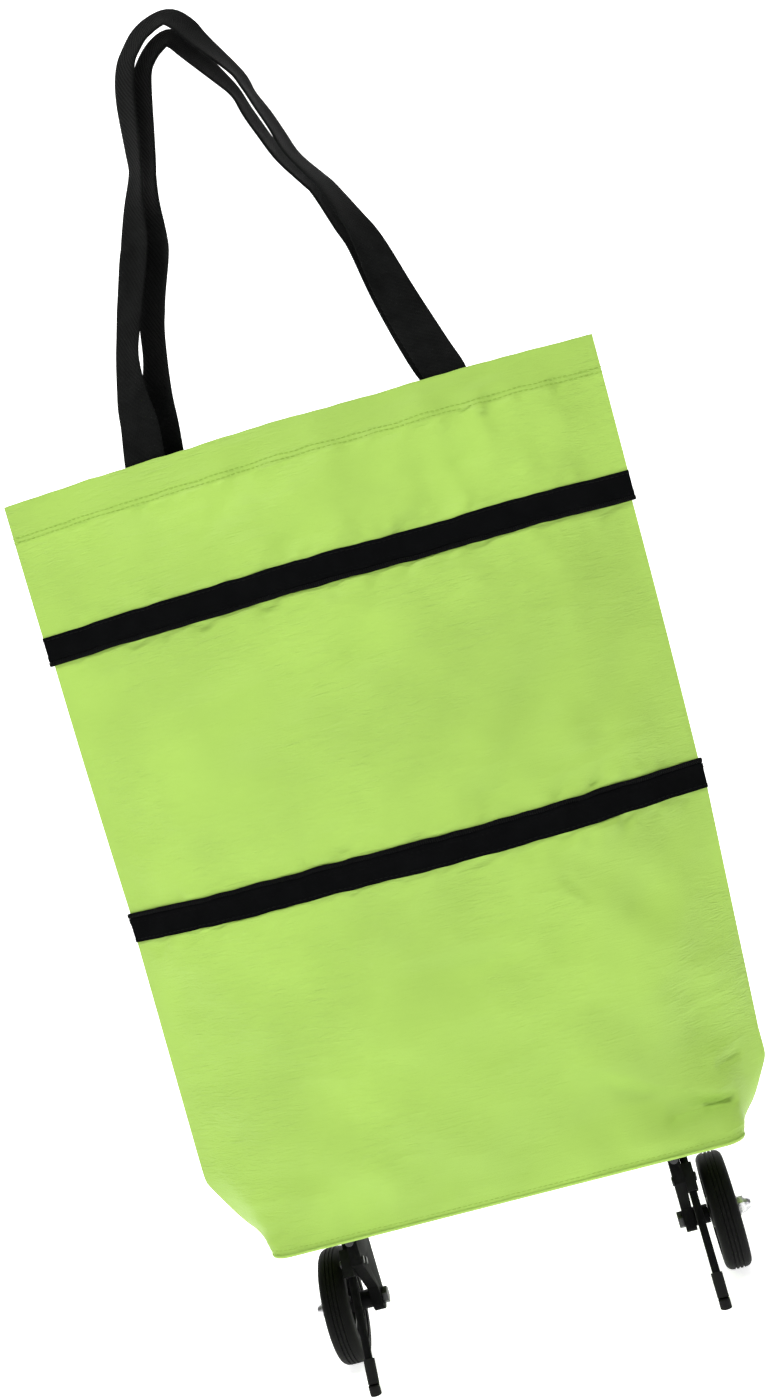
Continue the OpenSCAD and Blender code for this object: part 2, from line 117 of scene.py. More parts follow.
class ToteColours(bpy.types.PropertyGroup):
    nylon: colour("Nylon", "Colour of the bag's cloth", (0.353, 0.560, 0.091, 1))
    webbing: colour("Webbing", "Colour of the straps", (0.0060, 0.0064, 0.0062, 1))
    tape: colour("Zip tape", "Colour of the zip tapes and teeth", (0.0040, 0.0042, 0.0045, 1))
    paint: colour("Paint", "Colour of the painted arms and legs", (0.0065, 0.0066, 0.0070, 1))
    metal: colour("Plated steel", "Colour of the nuts and rivets", (0.36, 0.36, 0.37, 1))


def sizes():
    return bpy.context.scene.tote_sizes


def colours():
    return bpy.context.scene.tote_colours


# ---- shader node helpers -----------------------------------------------------
class Wires:
    """Adds nodes to a tree in a row and joins them by socket."""

    def __init__(self, tree):
        self.tree, self.x = tree, -1400

    def add(self, kind, inputs=None, **settings):
        n = self.tree.nodes.new(kind)
        n.location = (self.x, 0)
        self.x += 60
        for k, v in settings.items():
            setattr(n, k, v)
        for k, v in (inputs or {}).items():
            self.put(n.inputs[k], v)
        return n

    def out(self, kind, inputs=None, **settings):
        """The first output of a new node."""
        return self.add(kind, inputs, **settings).outputs[0]

    def put(self, socket, value):
        if isinstance(value, bpy.types.NodeSocket):
            self.tree.links.new(value, socket)
        else:
            socket.default_value = value

    def fill(self, node, **inputs):
        """Sets a node's inputs by name, with _ for a space."""
        for k, v in inputs.items():
            self.put(node.inputs[k.replace("_", " ")], v)
        return node

    def math(self, operation, a, b=None):
        given = {0: a} if b is None else {0: a, 1: b}
        return self.out("ShaderNodeMath", given, operation=operation)

    def times(self, a, *others):
        for b in others:
            a = self.math("MULTIPLY", a, b)
        return a

    def ramp(self, value, low, high, out_low=0.0, out_high=1.0):
        return self.out("ShaderNodeMapRange", {"Value": value, "From Min": low, "From Max": high,
                                               "To Min": out_low, "To Max": out_high})

    def noise(self, vector, scale, detail=3.0, rough=0.5, stretch=(1, 1, 1)):
        place = self.out("ShaderNodeMapping", {"Vector": vector, "Scale": stretch})
        return self.out("ShaderNodeTexNoise", {"Vector": place, "Scale": scale,
                                               "Detail": detail, "Roughness": rough})

    def mixed(self, factor, a, b):
        n = self.add("ShaderNodeMix", data_type="RGBA")
        for k, v in ((0, factor), (6, a), (7, b)):
            self.put(n.inputs[k], v)
        return n.outputs[2]

    def bump(self, height, strength, distance, normal=None):
        n = self.add("ShaderNodeBump", {"Height": height, "Strength": strength,
                                        "Distance": distance})
        if normal is not None:
            self.put(n.inputs["Normal"], normal)
        return n.outputs[0]

    def use(self, group, **inputs):
        """Places a shader group and returns its outputs."""
        n = self.add("ShaderNodeGroup")
        n.node_tree = group
        return self.fill(n, **inputs).outputs

    def dusted(self, colour, place, amount, dust):
        """Lays dust of one colour over another colour."""
        mask = self.use(dust_group(), Place=place, Amount=amount)["Mask"]
        return self.mixed(mask, colour, dust)


F, V = "NodeSocketFloat", "NodeSocketVector"


def add_inputs(group, inputs):
    for label, kind, value in inputs:
        socket = group.interface.new_socket(label, in_out="INPUT", socket_type=kind)
        if value is not None:
            socket.default_value = value


def shader_group(name, inputs, outputs):
    """Turns a function that wires inputs to outputs into one that gives the group, made once."""
    def decorate(wired):
        def get():
            g = bpy.data.node_groups.get(name)
            if g is None:
                g = bpy.data.node_groups.new(name, "ShaderNodeTree")
                add_inputs(g, inputs)
                for label in outputs:
                    g.interface.new_socket(label, in_out="OUTPUT", socket_type=F)
                w = Wires(g)
                i, o = w.add("NodeGroupInput"), w.add("NodeGroupOutput")
                for socket, value in zip(o.inputs, wired(w, i.outputs)):
                    w.put(socket, value)
            return g
        return get
    return decorate


@shader_group("weave", [("Map", V, None), ("Pitch X", F, 2000.0), ("Pitch Y", F, 2000.0),
                        ("Slant", F, 0.0)], ["Height", "Gaps"])
def weave_group(w, i):
    """Plain weave on the piece's own map, in metres: threads over and under, and a mask for painted
    shade in the gaps between them.
    """
    x, y = w.add("ShaderNodeSeparateXYZ", {0: i["Map"]}).outputs[:2]
    u = w.times(w.math("ADD", x, w.times(y, i["Slant"])), i["Pitch X"])
    v = w.times(y, i["Pitch Y"])
    warp, weft = (w.math("ABSOLUTE", w.math("SINE", w.times(a, math.pi))) for a in (u, v))
    odd = w.math("MODULO", w.math("ADD", w.math("FLOOR", u), w.math("FLOOR", v)), 2.0)
    over = w.math("ABSOLUTE", odd)
    height = w.math("ADD", w.times(warp, over), w.times(weft, w.math("SUBTRACT", 1.0, over)))
    return height, w.ramp(height, 0.0, 0.35, 1.0, 0.0)


@shader_group("crumple", [("Place", V, None), ("Scale", F, 120.0), ("Patches", F, 14.0)],
              ["Height"])
def crumple_group(w, i):
    """Fine crinkles of thin cloth, longer across than they are high."""
    wide = w.out("ShaderNodeMapping", {"Vector": i["Place"], "Scale": (0.40, 1, 3.0)})
    fine = w.out("ShaderNodeTexNoise", {"Vector": wide, "Scale": i["Scale"], "Detail": 4.0,
                                        "Roughness": 0.55, "Distortion": 0.4})
    slow = w.out("ShaderNodeTexNoise", {"Vector": i["Place"], "Scale": i["Patches"],
                                        "Detail": 2.0})
    ridge = w.math("ABSOLUTE", w.math("SUBTRACT", fine, 0.5))
    return [w.times(ridge, w.math("ADD", 0.3, w.ramp(slow, 0.42, 0.62)))]


@shader_group("grain", [("Place", V, None), ("Scale", F, 2200.0)], ["Height", "Sheen"])
def grain_group(w, i):
    """Fine moulded or sprayed grain with a slow change of sheen."""
    fine = w.out("ShaderNodeTexNoise", {"Vector": i["Place"], "Scale": i["Scale"],
                                        "Detail": 2.0})
    slow = w.out("ShaderNodeTexNoise", {"Vector": i["Place"], "Scale": 55.0, "Detail": 4.0})
    return fine, w.ramp(slow, 0.3, 0.7)


@shader_group("dust", [("Place", V, None), ("Amount", F, 0.1)], ["Mask"])
def dust_group(w, i):
    """Faint lint and dust, thicker on faces that look up."""
    fine = w.noise(i["Place"], 240.0, 5.0, 0.65)
    slow = w.noise(i["Place"], 22.0, 2.0, 0.5)
    normal = w.add("ShaderNodeNewGeometry").outputs["Normal"]
    up = w.add("ShaderNodeSeparateXYZ", {0: normal}).outputs[2]
    specks = w.times(w.ramp(fine, 0.55, 0.8), w.ramp(slow, 0.35, 0.65))
    return [w.times(specks, w.ramp(up, -0.4, 1.0, 0.25, 1.0), i["Amount"])]


@shader_group("edge wear", [("Place", V, None), ("Amount", F, 0.3)], ["Mask"])
def wear_group(w, i):
    """Rubbed edges, from how sharply the surface bends."""
    bend = w.add("ShaderNodeNewGeometry").outputs["Pointiness"]
    patches = w.ramp(w.noise(i["Place"], 380.0, 4.0, 0.6), 0.4, 0.65)
    return [w.times(w.ramp(bend, 0.505, 0.56), patches, i["Amount"])]


# ---- materials ---------------------------------------------------------------
def new_material(name):
    m = bpy.data.materials.new(name + " finish")
    m.use_nodes = True
    m.node_tree.nodes.clear()
    w = Wires(m.node_tree)
    out = w.add("ShaderNodeOutputMaterial")
    out.location = (500, 0)
    bsdf = w.add("ShaderNodeBsdfPrincipled")
    bsdf.location = (200, 0)
    w.put(out.inputs["Surface"], bsdf.outputs[0])
    coord = w.add("ShaderNodeTexCoord").outputs
    return m, w, bsdf, coord["Object"], coord["UV"]


def shade(colour, k):
    return tuple(min(1.0, c * k) for c in tuple(colour)[:3]) + (1.0,)


def nylon_material(name, base):
    m, w, bsdf, place, uv = new_material(name)
    weave = w.use(weave_group(), Map=uv, Pitch_X=2600.0, Pitch_Y=2600.0)
    crumple = w.use(crumple_group(), Place=place, Scale=120.0, Patches=13.0)
    # Slow patches of lighter and darker green: partly the cloth's own uneven tone, partly painted
    # light and shade standing in for soft folds.
    tone = w.noise(place, 11.0, 3.0, 0.5)
    col = w.mixed(w.ramp(tone, 0.36, 0.66), shade(base, 0.955), shade(base, 1.09))
    # Painted shade in the gaps between the threads.
    col = w.mixed(w.times(weave["Gaps"], 0.16), col, shade(base, 0.6))
    # Painted shade over the doubled hem band, standing in for the doubled cloth letting less light
    # through.
    height = w.add("ShaderNodeSeparateXYZ", {0: place}).outputs[2]
    doubled_hem_shade = w.ramp(height, HEM_Z - 0.5 * MM, HEM_Z + 0.5 * MM, 0.0, 0.35)
    col = w.mixed(doubled_hem_shade, col, shade(base, 0.86))
    crinkled = w.bump(crumple["Height"], 1.0, 0.0013)
    w.fill(bsdf, Base_Color=w.dusted(col, place, 0.06, (0.75, 0.78, 0.62, 1)),
           Roughness=w.ramp(tone, 0.3, 0.7, 0.50, 0.60), Specular_IOR_Level=0.35,
           Sheen_Weight=0.18, Sheen_Roughness=0.45, Sheen_Tint=(0.85, 1.0, 0.6, 1),
           Normal=w.bump(weave["Height"], 0.35, 0.00012, crinkled))
    return m


def thread_material(name, colour):
    m, w, bsdf, place, _ = new_material(name)
    ply = w.add("ShaderNodeTexWave", {"Vector": place, "Scale": 1500.0, "Distortion": 1.0},
                bands_direction="DIAGONAL").outputs["Fac"]
    tone = w.noise(place, 300.0, 3.0, 0.6)
    w.fill(bsdf, Base_Color=w.mixed(tone, shade(colour, 0.8), shade(colour, 1.12)),
           Roughness=w.ramp(tone, 0.3, 0.7, 0.52, 0.68), Specular_IOR_Level=0.05,
           Normal=w.bump(ply, 0.3, 0.0001))
    return m


def webbing_material(name, base):
    m, w, bsdf, place, uv = new_material(name)
    ribs = w.use(weave_group(), Map=uv, Pitch_X=620.0, Pitch_Y=950.0, Slant=0.55)
    fine = w.use(weave_group(), Map=uv, Pitch_X=1900.0, Pitch_Y=2500.0)
    tone = w.noise(place, 60.0, 4.0, 0.6)
    col = w.mixed(w.ramp(tone, 0.3, 0.7), shade(base, 0.75), shade(base, 1.6))
    # Painted shade in the grooves between the ribs.
    col = w.mixed(w.times(ribs["Gaps"], 0.6), col, shade(base, 0.35))
    ribbed = w.bump(ribs["Height"], 0.8, 0.00032)
    w.fill(bsdf, Base_Color=w.dusted(col, place, 0.10, (0.05, 0.05, 0.048, 1)),
           Roughness=w.ramp(tone, 0.3, 0.7, 0.58, 0.72), Specular_IOR_Level=0.015,
           Sheen_Weight=0.01, Sheen_Roughness=0.5,
           Normal=w.bump(fine["Height"], 0.4, 0.0001, ribbed))
    return m


def tape_material(name, base):
    m, w, bsdf, place, uv = new_material(name)
    weave = w.use(weave_group(), Map=uv, Pitch_X=1500.0, Pitch_Y=2100.0, Slant=0.3)
    tone = w.noise(place, 80.0, 3.0, 0.6)
    col = w.mixed(tone, shade(base, 0.7), shade(base, 1.4))
    w.fill(bsdf, Base_Color=w.dusted(col, place, 0.07, (0.04, 0.04, 0.04, 1)),
           Roughness=w.ramp(tone, 0.3, 0.7, 0.62, 0.75), Specular_IOR_Level=0.0,
           Normal=w.bump(weave["Height"], 0.6, 0.0002))
    return m


def moulded_material(name, colour, rough, grain, dust=0.08, spec=0.5, wear=0.0, worn=None):
    m, w, bsdf, place, _ = new_material(name)
    surface_grain = w.use(grain_group(), Place=place, Scale=2400.0)
    col = w.mixed(surface_grain["Sheen"], shade(colour, 0.88), shade(colour, 1.15))
    if wear:
        edge = w.use(wear_group(), Place=place, Amount=wear)["Mask"]
        col = w.mixed(edge, col, worn)
    w.fill(bsdf, Base_Color=w.dusted(col, place, dust, (0.09, 0.09, 0.085, 1)),
           Roughness=w.ramp(surface_grain["Sheen"], 0.0, 1.0, rough - 0.05, rough + 0.06),
           Specular_IOR_Level=spec, Coat_Roughness=0.15,
           Normal=w.bump(surface_grain["Height"], grain, 0.00008))
    return m


def plated_material(name, colour, rough):
    m, w, bsdf, place, _ = new_material(name)
    brushed = w.noise(place, 900.0, 3.0, 0.6, (1, 1, 9))
    slow = w.noise(place, 130.0, 3.0, 0.6)
    w.fill(bsdf, Base_Color=w.mixed(slow, shade(colour, 0.82), shade(colour, 1.05)),
           Roughness=w.ramp(brushed, 0.3, 0.7, rough * 0.75, rough * 1.3), Metallic=1.0,
           Normal=w.bump(brushed, 0.12, 0.00004))
    return m


def material(name):
    """Each finish is made once and then shared."""
    made = bpy.data.materials.get(name + " finish")
    if made:
        return made
    c = colours()
    # moulded: colour, roughness, grain, dust, shine, wear and the colour worn to
    maker, *given = {
        "nylon_green": (nylon_material, c.nylon),
        "strap_webbing": (webbing_material, c.webbing),
        "zip_tape": (tape_material, c.tape),
        "green_thread": (thread_material, shade(c.nylon, 0.86)),
        "black_thread": (thread_material, shade(c.webbing, 1.1)),
        "zip_teeth": (moulded_material, c.tape, 0.42, 0.1, 0.05, 0.08),
        "zip_metal": (plated_material, (0.52, 0.52, 0.54), 0.22),
        "base_board": (moulded_material, (0.02, 0.02, 0.021), 0.6, 0.6),
        "painted_steel": (moulded_material, shade(c.paint, 0.6), 0.56, 0.3, 0.03, 0.02, 0.25,
                          (0.022, 0.022, 0.023, 1)),
        "moulded_black": (moulded_material, shade(c.paint, 0.8), 0.5, 0.4, 0.04, 0.06, 0.3,
                          (0.02, 0.02, 0.02, 1)),
        "wheel_plastic": (moulded_material, (0.007, 0.007, 0.0075), 0.4, 0.4, 0.08, 0.12, 0.3,
                          (0.03, 0.03, 0.03, 1)),
        "tyre_rubber": (moulded_material, (0.0055, 0.0055, 0.0057), 0.62, 0.9, 0.05, 0.07, 0.4,
                        (0.015, 0.015, 0.014, 1)),
        "foot_rubber": (moulded_material, (0.009, 0.009, 0.009), 0.68, 0.8, 0.06, 0.08),
        "plated_steel": (plated_material, c.metal, 0.34),
        "dark_steel": (plated_material, (0.055, 0.055, 0.058), 0.4),
        "bright_nut": (plated_material, (0.66, 0.66, 0.68), 0.3),
    }[name]
    return maker(name, *given)


# ---- shape of the bag --------------------------------------------------------
def depth_at(z):
    s = sizes()
    half = s.belly / 2
    return np.interp(z, [BASE_Z, LOW_Z, HIGH_Z, TOP_Z],
                     [half + MM, half, half * 0.58, s.mouth / 2])


def boxed(s, z):
    """0 where the bag is a flat lens, 1 at its boxed base; the right corner is boxed lower."""
    height = sizes().blend_height * np.interp(s, [-1, 0, 1], [1, 0.9, 0.78])
    t = (BASE_Z + height - z) / height
    t = np.clip(0.5 * (t + np.sqrt(t * t + 0.004)), 0, 1)
    return t * (1 - 0.28 * (1 - t ** 6))


RIGHT_IN = 9.0 * MM                # the right seam is drawn in this far low down


def outline(s, z, off):
    """Front half of the outline: s runs from the left seam, -1, to the right one, 1."""
    width = sizes().tube_width
    a = 4 * depth_at(z) / width
    a = a * (1 + a * a / 12)
    r = width / (2 * a)
    c = r * np.cos(a)
    b = np.where(off > 0, a, np.arccos(np.clip(c / (r + min(off, 0)), -1, 1)))
    ax, ay = (r + off) * np.sin(b * s), -((r + off) * np.cos(b * s) - c)
    A, B = BASE_W / 2 + off, BASE_D / 2 + off
    k = sizes().corner + off
    d = np.abs(s) * ((B - k) + math.pi * k / 2 + (A - k))
    g = np.sign(s)
    q = np.clip((d - (A - k)) / k, 0, math.pi / 2)
    past = np.maximum(d - (A - k) - math.pi * k / 2, 0)
    bx = g * (np.minimum(d, A - k) + k * np.sin(q))
    by = -(B - k) - k * np.cos(q) + past
    m = boxed(s, z)
    ax = ax - RIGHT_IN * np.clip(s, 0, 1) ** 3 * np.interp(z, [BASE_Z + 0.05, LOW_Z], [1, 0])
    return (1 - m) * ax + m * bx, (1 - m) * ay + m * by


class Ripple:
    """A fixed sum of waves: smooth, seeded noise with wavelengths in one range."""

    def __init__(self, seed, count, short, long, stretch=1.0, tall=1.0):
        rng = np.random.default_rng(seed)
        lengths = np.exp(rng.uniform(np.log(short), np.log(long), count))
        turn = rng.uniform(0, 2 * np.pi, count)
        self.kx = 2 * np.pi / lengths * np.cos(turn) / stretch
        self.kz = 2 * np.pi / lengths * np.sin(turn) / tall
        self.phase = rng.uniform(0, 2 * np.pi, count)
        self.scale = math.sqrt(2.0 / count)

    def __call__(self, x, z):
        out = np.zeros(np.broadcast(x, z).shape)
        for kx, kz, p in zip(self.kx, self.kz, self.phase):
            out += np.cos(kx * x + kz * z + p)
        return out * self.scale


SWELL = Ripple(11, 14, 0.10, 0.26, 1.2)
FOLDS = Ripple(12, 36, 0.028, 0.085, 1.3)
CRINKLE = Ripple(13, 60, 0.009, 0.024, 2.2)
PATCHES = Ripple(14, 12, 0.06, 0.16)
PUCKER = Ripple(15, 34, 0.012, 0.048, 0.8)
SEAM_PUCKER = Ripple(16, 24, 0.007, 0.020)
BAND_WAVE = Ripple(17, 7, 0.09, 0.30)
BAND_SHIVER = Ripple(18, 14, 0.018, 0.06, 0.7)
UPRIGHT = Ripple(19, 26, 0.028, 0.080, 0.8, 2.6)

# folds pressed into the front: from x, z to x, z in mm, half width, height in mm
FRONT_FOLDS = (
    (14, 445, -35, 358, 9.0, -1.0), (-1, 452, -50, 362, 10.0, 0.7),
    (14, 382, 38, 357, 6.0, -0.6), (24, 392, 52, 360, 7.0, 0.5),
    (-130, 428, -106, 424, 6.0, -0.8), (-142, 405, -116, 380, 9.0, 1.0),
    (-106, 420, -84, 411, 4.0, 0.6), (-150, 352, -60, 336, 8.0, 0.5),
    (60, 420, 100, 396, 9.0, 0.6), (96, 348, 150, 330, 9.0, 0.5),
    (-12, 243, 46, 237, 5.0, 1.1), (-20, 232, 34, 228, 5.0, -0.9),
    (64, 260, 88, 251, 3.0, 0.9), (84, 262, 92, 250, 2.5, -0.9),
    (-40, 262, 10, 250, 4.5, 0.7), (-120, 230, -70, 210, 9.0, 0.6),
    (120, 220, 150, 190, 9.0, 0.7), (40, 190, 90, 170, 10.0, 0.6),
    (112, 113.5, 147, 112, 4.2, -2.6, 2.6), (134, 112.4, 150, 111.8, 2.2, -1.5),
    (78, 150, 142, 121, 14.0, 4.2, 5.5), (86, 107, 148, 99, 7.0, 2.6, 6.0),
    (148, 132, 164, 134.5, 2.0, -1.4), (146, 138, 167, 142, 3.2, 1.2),
    (-128, 96, -52, 148, 24.0, 1.5, 8.0),
    (-120, 150, -70, 132, 10.0, 0.7),
    (-60, 118, 10, 124, 8.0, 0.5), (-34, 538, -64, 514, 5.0, -1.1),
    (-46, 498, -4, 514, 7.0, 0.9), (80, 521, 96, 520, 7.0, -0.9),
    (115, 540, 115, 512, 4.5, -0.7), (126, 536, 128, 500, 6.0, 0.6),
    (-112, 535, -90, 534, 5.0, -0.7), (-150, 520, -118, 494, 7.0, 0.7),
    (30, 508, 60, 494, 6.0, 0.6), (150, 516, 160, 490, 6.0, -0.6),
)


def fold_lines(x, z, lines):
    """Soft ridges and valleys along straight lines, fading at their ends."""
    out = np.zeros(np.broadcast(x, z).shape)
    for x0, z0, x1, z1, w, h, *rest in lines:
        dx, dz = (x1 - x0) * MM, (z1 - z0) * MM
        length = math.hypot(dx, dz)
        ux, uz = dx / length, dz / length
        px, pz = x - x0 * MM, z - z0 * MM
        along, across = px * ux + pz * uz, -px * uz + pz * ux
        side_w = np.where(across > 0, w, rest[0] if rest else w) * MM
        wave = 0.18 * w * MM * np.sin(along * 55 + x0)
        beyond = np.maximum(np.maximum(-along, along - length), 0)
        fade = np.exp(-(beyond / (w * MM * 1.6)) ** 2)
        out += h * MM * fade * np.exp(-((across - wave) / side_w) ** 2 / 2)
    return out


def back_folds():
    rng = np.random.default_rng(21)
    lines = []
    for _ in range(26):
        x, z = rng.uniform(-150, 150), rng.uniform(110, 540)
        turn, length = rng.uniform(-0.9, 0.9), rng.uniform(18, 80)
        lines.append((x, z, x + length * math.cos(turn), z + length * math.sin(turn),
                      rng.uniform(3, 9), rng.choice([-1, 1]) * rng.uniform(0.5, 1.3)))
    lines += [(-142, 112, -118, 104, 3.0, -2.4), (112, 116, 146, 106, 3.0, -2.2),
              (-130, 134, -96, 122, 6.0, 1.6), (100, 100, 130, 96, 5.0, 1.4)]
    return lines


BACK_FOLDS = back_folds()


def near(z, edge, reach):
    return np.exp(-np.abs(z - edge) / reach)


HALF_WIDTH = 0.185                 # of a panel, for the pucker along the side seams
BACK_SHIFT = 1.3                   # the back panel reads the ripples this many metres along


def ripple_x(s, side):
    """Metres across a panel, for the ripples."""
    return s * sizes().tube_width / 2 + (0 if side < 0 else BACK_SHIFT)


def swell_at(s, z, side):
    """Slow in and out movement that cloth, tapes and stitches share."""
    u = ripple_x(s, side)
    hold = 1 - np.abs(s) ** 10
    floor = np.clip((z - BASE_Z) / 0.030, 0, 1)
    hem = 1 - 0.9 * near(z, TOP_Z, 0.03)
    tame = 1 - 0.5 * near(z, LOW_Z + 0.009, 0.02) - 0.5 * near(z, HIGH_Z + 0.009, 0.02)
    return sizes().wrinkles * hold * floor * hem * (1.6 * MM * SWELL(u, z)
                                                    + 0.62 * MM * tame * FOLDS(u, z))


def crease_at(s, z, side):
    """Creases and puckers of the cloth alone."""
    u = s * sizes().tube_width / 2
    ub = ripple_x(s, side)
    hold = 1 - np.abs(s) ** 9
    floor = np.clip((z - BASE_Z) / 0.006, 0, 1)
    out = fold_lines(u if side < 0 else -u, z, FRONT_FOLDS if side < 0 else BACK_FOLDS)
    patch = np.clip(0.5 + 0.9 * PATCHES(ub, z), 0, 1.6)
    out = out + 0.105 * MM * CRINKLE(ub, z) * (0.35 + patch)
    sewn = (near(z, LOW_Z - MM, 0.008) + near(z, LOW_TEETH[1].z + MM, 0.006)
            + near(z, HIGH_Z - MM, 0.008) + near(z, HIGH_TAPE[1].z + MM, 0.008)
            + 0.7 * near(z, HEM_Z - 2 * MM, 0.004))
    out = out + 0.72 * MM * sewn * PUCKER(ub, z)
    above = np.clip((z - HIGH_TAPE[1].z - MM) / 0.012, 0, 1) * (1 - 0.92 * near(z, TOP_Z, 0.022))
    out = out + (0.62 * above + 0.10) * MM * UPRIGHT(ub, z)
    side_pucker = np.exp(-(1 - np.abs(s)) * HALF_WIDTH / 0.006)
    out = out + 0.35 * MM * side_pucker * SEAM_PUCKER(0 * ub, z + s)
    clear = np.minimum(np.maximum(LOW_Z - z, z - LOW_TEETH[1].z),
                       np.maximum(HIGH_Z - z, z - HIGH_TAPE[1].z))
    fade = np.clip(clear / 0.0035, 0, 1)
    return sizes().wrinkles * hold * floor * out * fade


def wave_at(s, z, side):
    """The bands and the top edge aren't quite straight."""
    u = ripple_x(s, side)
    high = np.clip((z - BASE_Z) / 0.12, 0, 1)
    wave = 0.34 * MM * BAND_WAVE(u, 0 * z) + 0.20 * MM * BAND_SHIVER(u, z * 3)
    rise = (0.40 if side < 0 else 0.24) * MM
    arch = rise * (1 - s ** 2) * np.clip((z - HIGH_Z + 0.06) / 0.10, 0, 1)
    return high * wave * (1 - np.abs(s) ** 6) + arch * (1 - np.abs(s) ** 4)


def surface(s, z, off, side, cloth=True):
    """Points on the bag: side is -1 for the front panel and 1 for the back one."""
    s, z = np.broadcast_arrays(np.asarray(s, float), np.asarray(z, float))
    x, y = outline(s, z, off)
    e = 1e-4
    xa, ya = outline(np.clip(s - e, -1, 1), z, off)
    xb, yb = outline(np.clip(s + e, -1, 1), z, off)
    tx, ty = xb - xa, yb - ya
    length = np.hypot(tx, ty)
    nx, ny = ty / length, -tx / length
    d = swell_at(s, z, side) + (crease_at(s, z, side) if cloth else 0)
    d = d * (1 - 0.85 * boxed(s, z) * np.clip((np.abs(s) - 0.80) / 0.10, 0, 1))
    if side > 0:
        d = d * (1 - 0.88 * calm_at(x, z))
    x, y = x + nx * d, y + ny * d
    return np.stack([x, BAG_Y - side * y, z + wave_at(s, z, side)], -1)


def calm_at(x, z):
    """1 on the back where the slider stops at either end of its run, between the bands."""
    spot = np.exp(-((np.abs(x) - SLIDER_X) / 0.024) ** 4)
    up = np.clip((z - LOW_TAPE[0].z + 0.025) / 0.02, 0, 1)
    return spot * up * np.clip((HIGH_TAPE[1].z + 0.025 - z) / 0.02, 0, 1)


def across(n):
    """Places across a panel, closer together towards the side seams."""
    t = np.linspace(-1, 1, n)
    return 0.75 * t + 0.25 * np.sin(t * np.pi / 2)


def hoop(z, off, n, cloth=True):
    """One closed row of points round the bag at height z, left seam first."""
    s = across(n)
    z = np.full(n, z) if np.isscalar(z) else z
    front = surface(s, z, off, -1, cloth)
    back = surface(s[::-1], z, off, 1, cloth)
    return np.concatenate([front, back])


# ---- mesh helpers ------------------------------------------------------------
def placed(name, data):
    """A new object in the scene."""
    o = bpy.data.objects.new(name, data)
    bpy.context.scene.collection.objects.link(o)
    return o


@contextlib.contextmanager
def edited(mesh, into=None):
    """A bmesh of one mesh, written back to it or into another one."""
    bm = bmesh.new()
    bm.from_mesh(mesh)
    yield bm
    bm.to_mesh(into or mesh)
    bm.free()


def finish(mesh, mat, sharp=None):
    """Smooth shading with sharp edges over an angle in degrees, and one material."""
    mesh.polygons.foreach_set("use_smooth", [True] * len(mesh.polygons))
    if sharp:
        mesh.set_sharp_from_angle(angle=math.radians(sharp))
    mesh.materials.clear()
    mesh.materials.append(mat)
    mesh.update()


def make_mesh(name, verts, faces, mat, uv=None, sharp=None, merge=0.0):
    mesh = bpy.data.meshes.new(name)
    mesh.from_pydata([tuple(map(float, v)) for v in verts], [],
                     [tuple(int(i) for i in f) for f in faces])
    if uv is not None:
        layer = mesh.uv_layers.new(name="UVMap")
        loops = np.zeros(len(mesh.loops), dtype=np.int64)
        mesh.loops.foreach_get("vertex_index", loops)
        layer.data.foreach_set("uv", np.asarray(uv)[loops].astype(np.float32).ravel())
    o = placed(name, mesh)
    if merge:
        with edited(mesh) as bm:
            bmesh.ops.remove_doubles(bm, verts=bm.verts, dist=merge)
            bmesh.ops.dissolve_degenerate(bm, edges=bm.edges, dist=merge)
    finish(mesh, mat, sharp)
    return o


def grid_faces(rows, cols, flip=False, start=0):
    """Four-sided faces between closed rows of points."""
    out = []
    for i in range(rows - 1):
        for j in range(cols):
            a, b = start + i * cols + j, start + i * cols + (j + 1) % cols
            f = (a, b, b + cols, a + cols)
            out.append(f[::-1] if flip else f)
    return out


def panel_map(n, heights):
    """The map of rows round the bag, in metres: across the front and on round the back."""
    width = sizes().tube_width
    s = across(n) * width / 2
    u = np.concatenate([s, width - s[::-1]])
    return np.concatenate([np.stack([u, np.full(2 * n, z)], -1) for z in heights])


def shell(name, levels, o_in, o_out, n, mat, cloth=True, sharp=24):
    """A closed band of cloth; the outer side has one offset or one for each height."""
    offsets = np.broadcast_to(o_out, len(levels))
    outer = [hoop(z, off, n, cloth) for z, off in zip(levels, offsets)]
    inner = [hoop(z, o_in, n, cloth) for z in levels]
    cols, rows = 2 * n, len(levels)
    base, t = rows * cols, (rows - 1) * cols
    faces = grid_faces(rows, cols) + grid_faces(rows, cols, True, base)
    for j in range(cols):
        k = (j + 1) % cols
        faces.append((j, base + j, base + k, k))
        faces.append((t + j, t + k, base + t + k, base + t + j))
    row = panel_map(n, levels)
    return make_mesh(name, np.concatenate(outer + inner), faces, mat,
                     uv=np.concatenate([row, row]), sharp=sharp, merge=1e-6)


def loft(name, rings, mat, sharp, uv):
    """A tube through rings of equal count, capped with a fan at each end."""
    n, rows = len(rings[0]), len(rings)
    verts = np.concatenate(rings + [[np.mean(rings[0], 0)], [np.mean(rings[-1], 0)]])
    faces = grid_faces(rows, n)
    a, b, t = rows * n, rows * n + 1, (rows - 1) * n
    for j in range(n):
        k = (j + 1) % n
        faces += [(a, k, j), (b, t + j, t + k)]
    return make_mesh(name, verts, faces, mat, sharp=sharp, uv=uv)


def bevel(o, width, segments):
    mod = o.modifiers.new("Rounded", "BEVEL")
    mod.width, mod.segments = width, segments
    return mod


def thickened(o, thickness):
    """Gives an open sheet its thickness, inwards."""
    mod = o.modifiers.new("Cloth", "SOLIDIFY")
    mod.thickness, mod.offset = thickness, -1.0
    return settled(o)


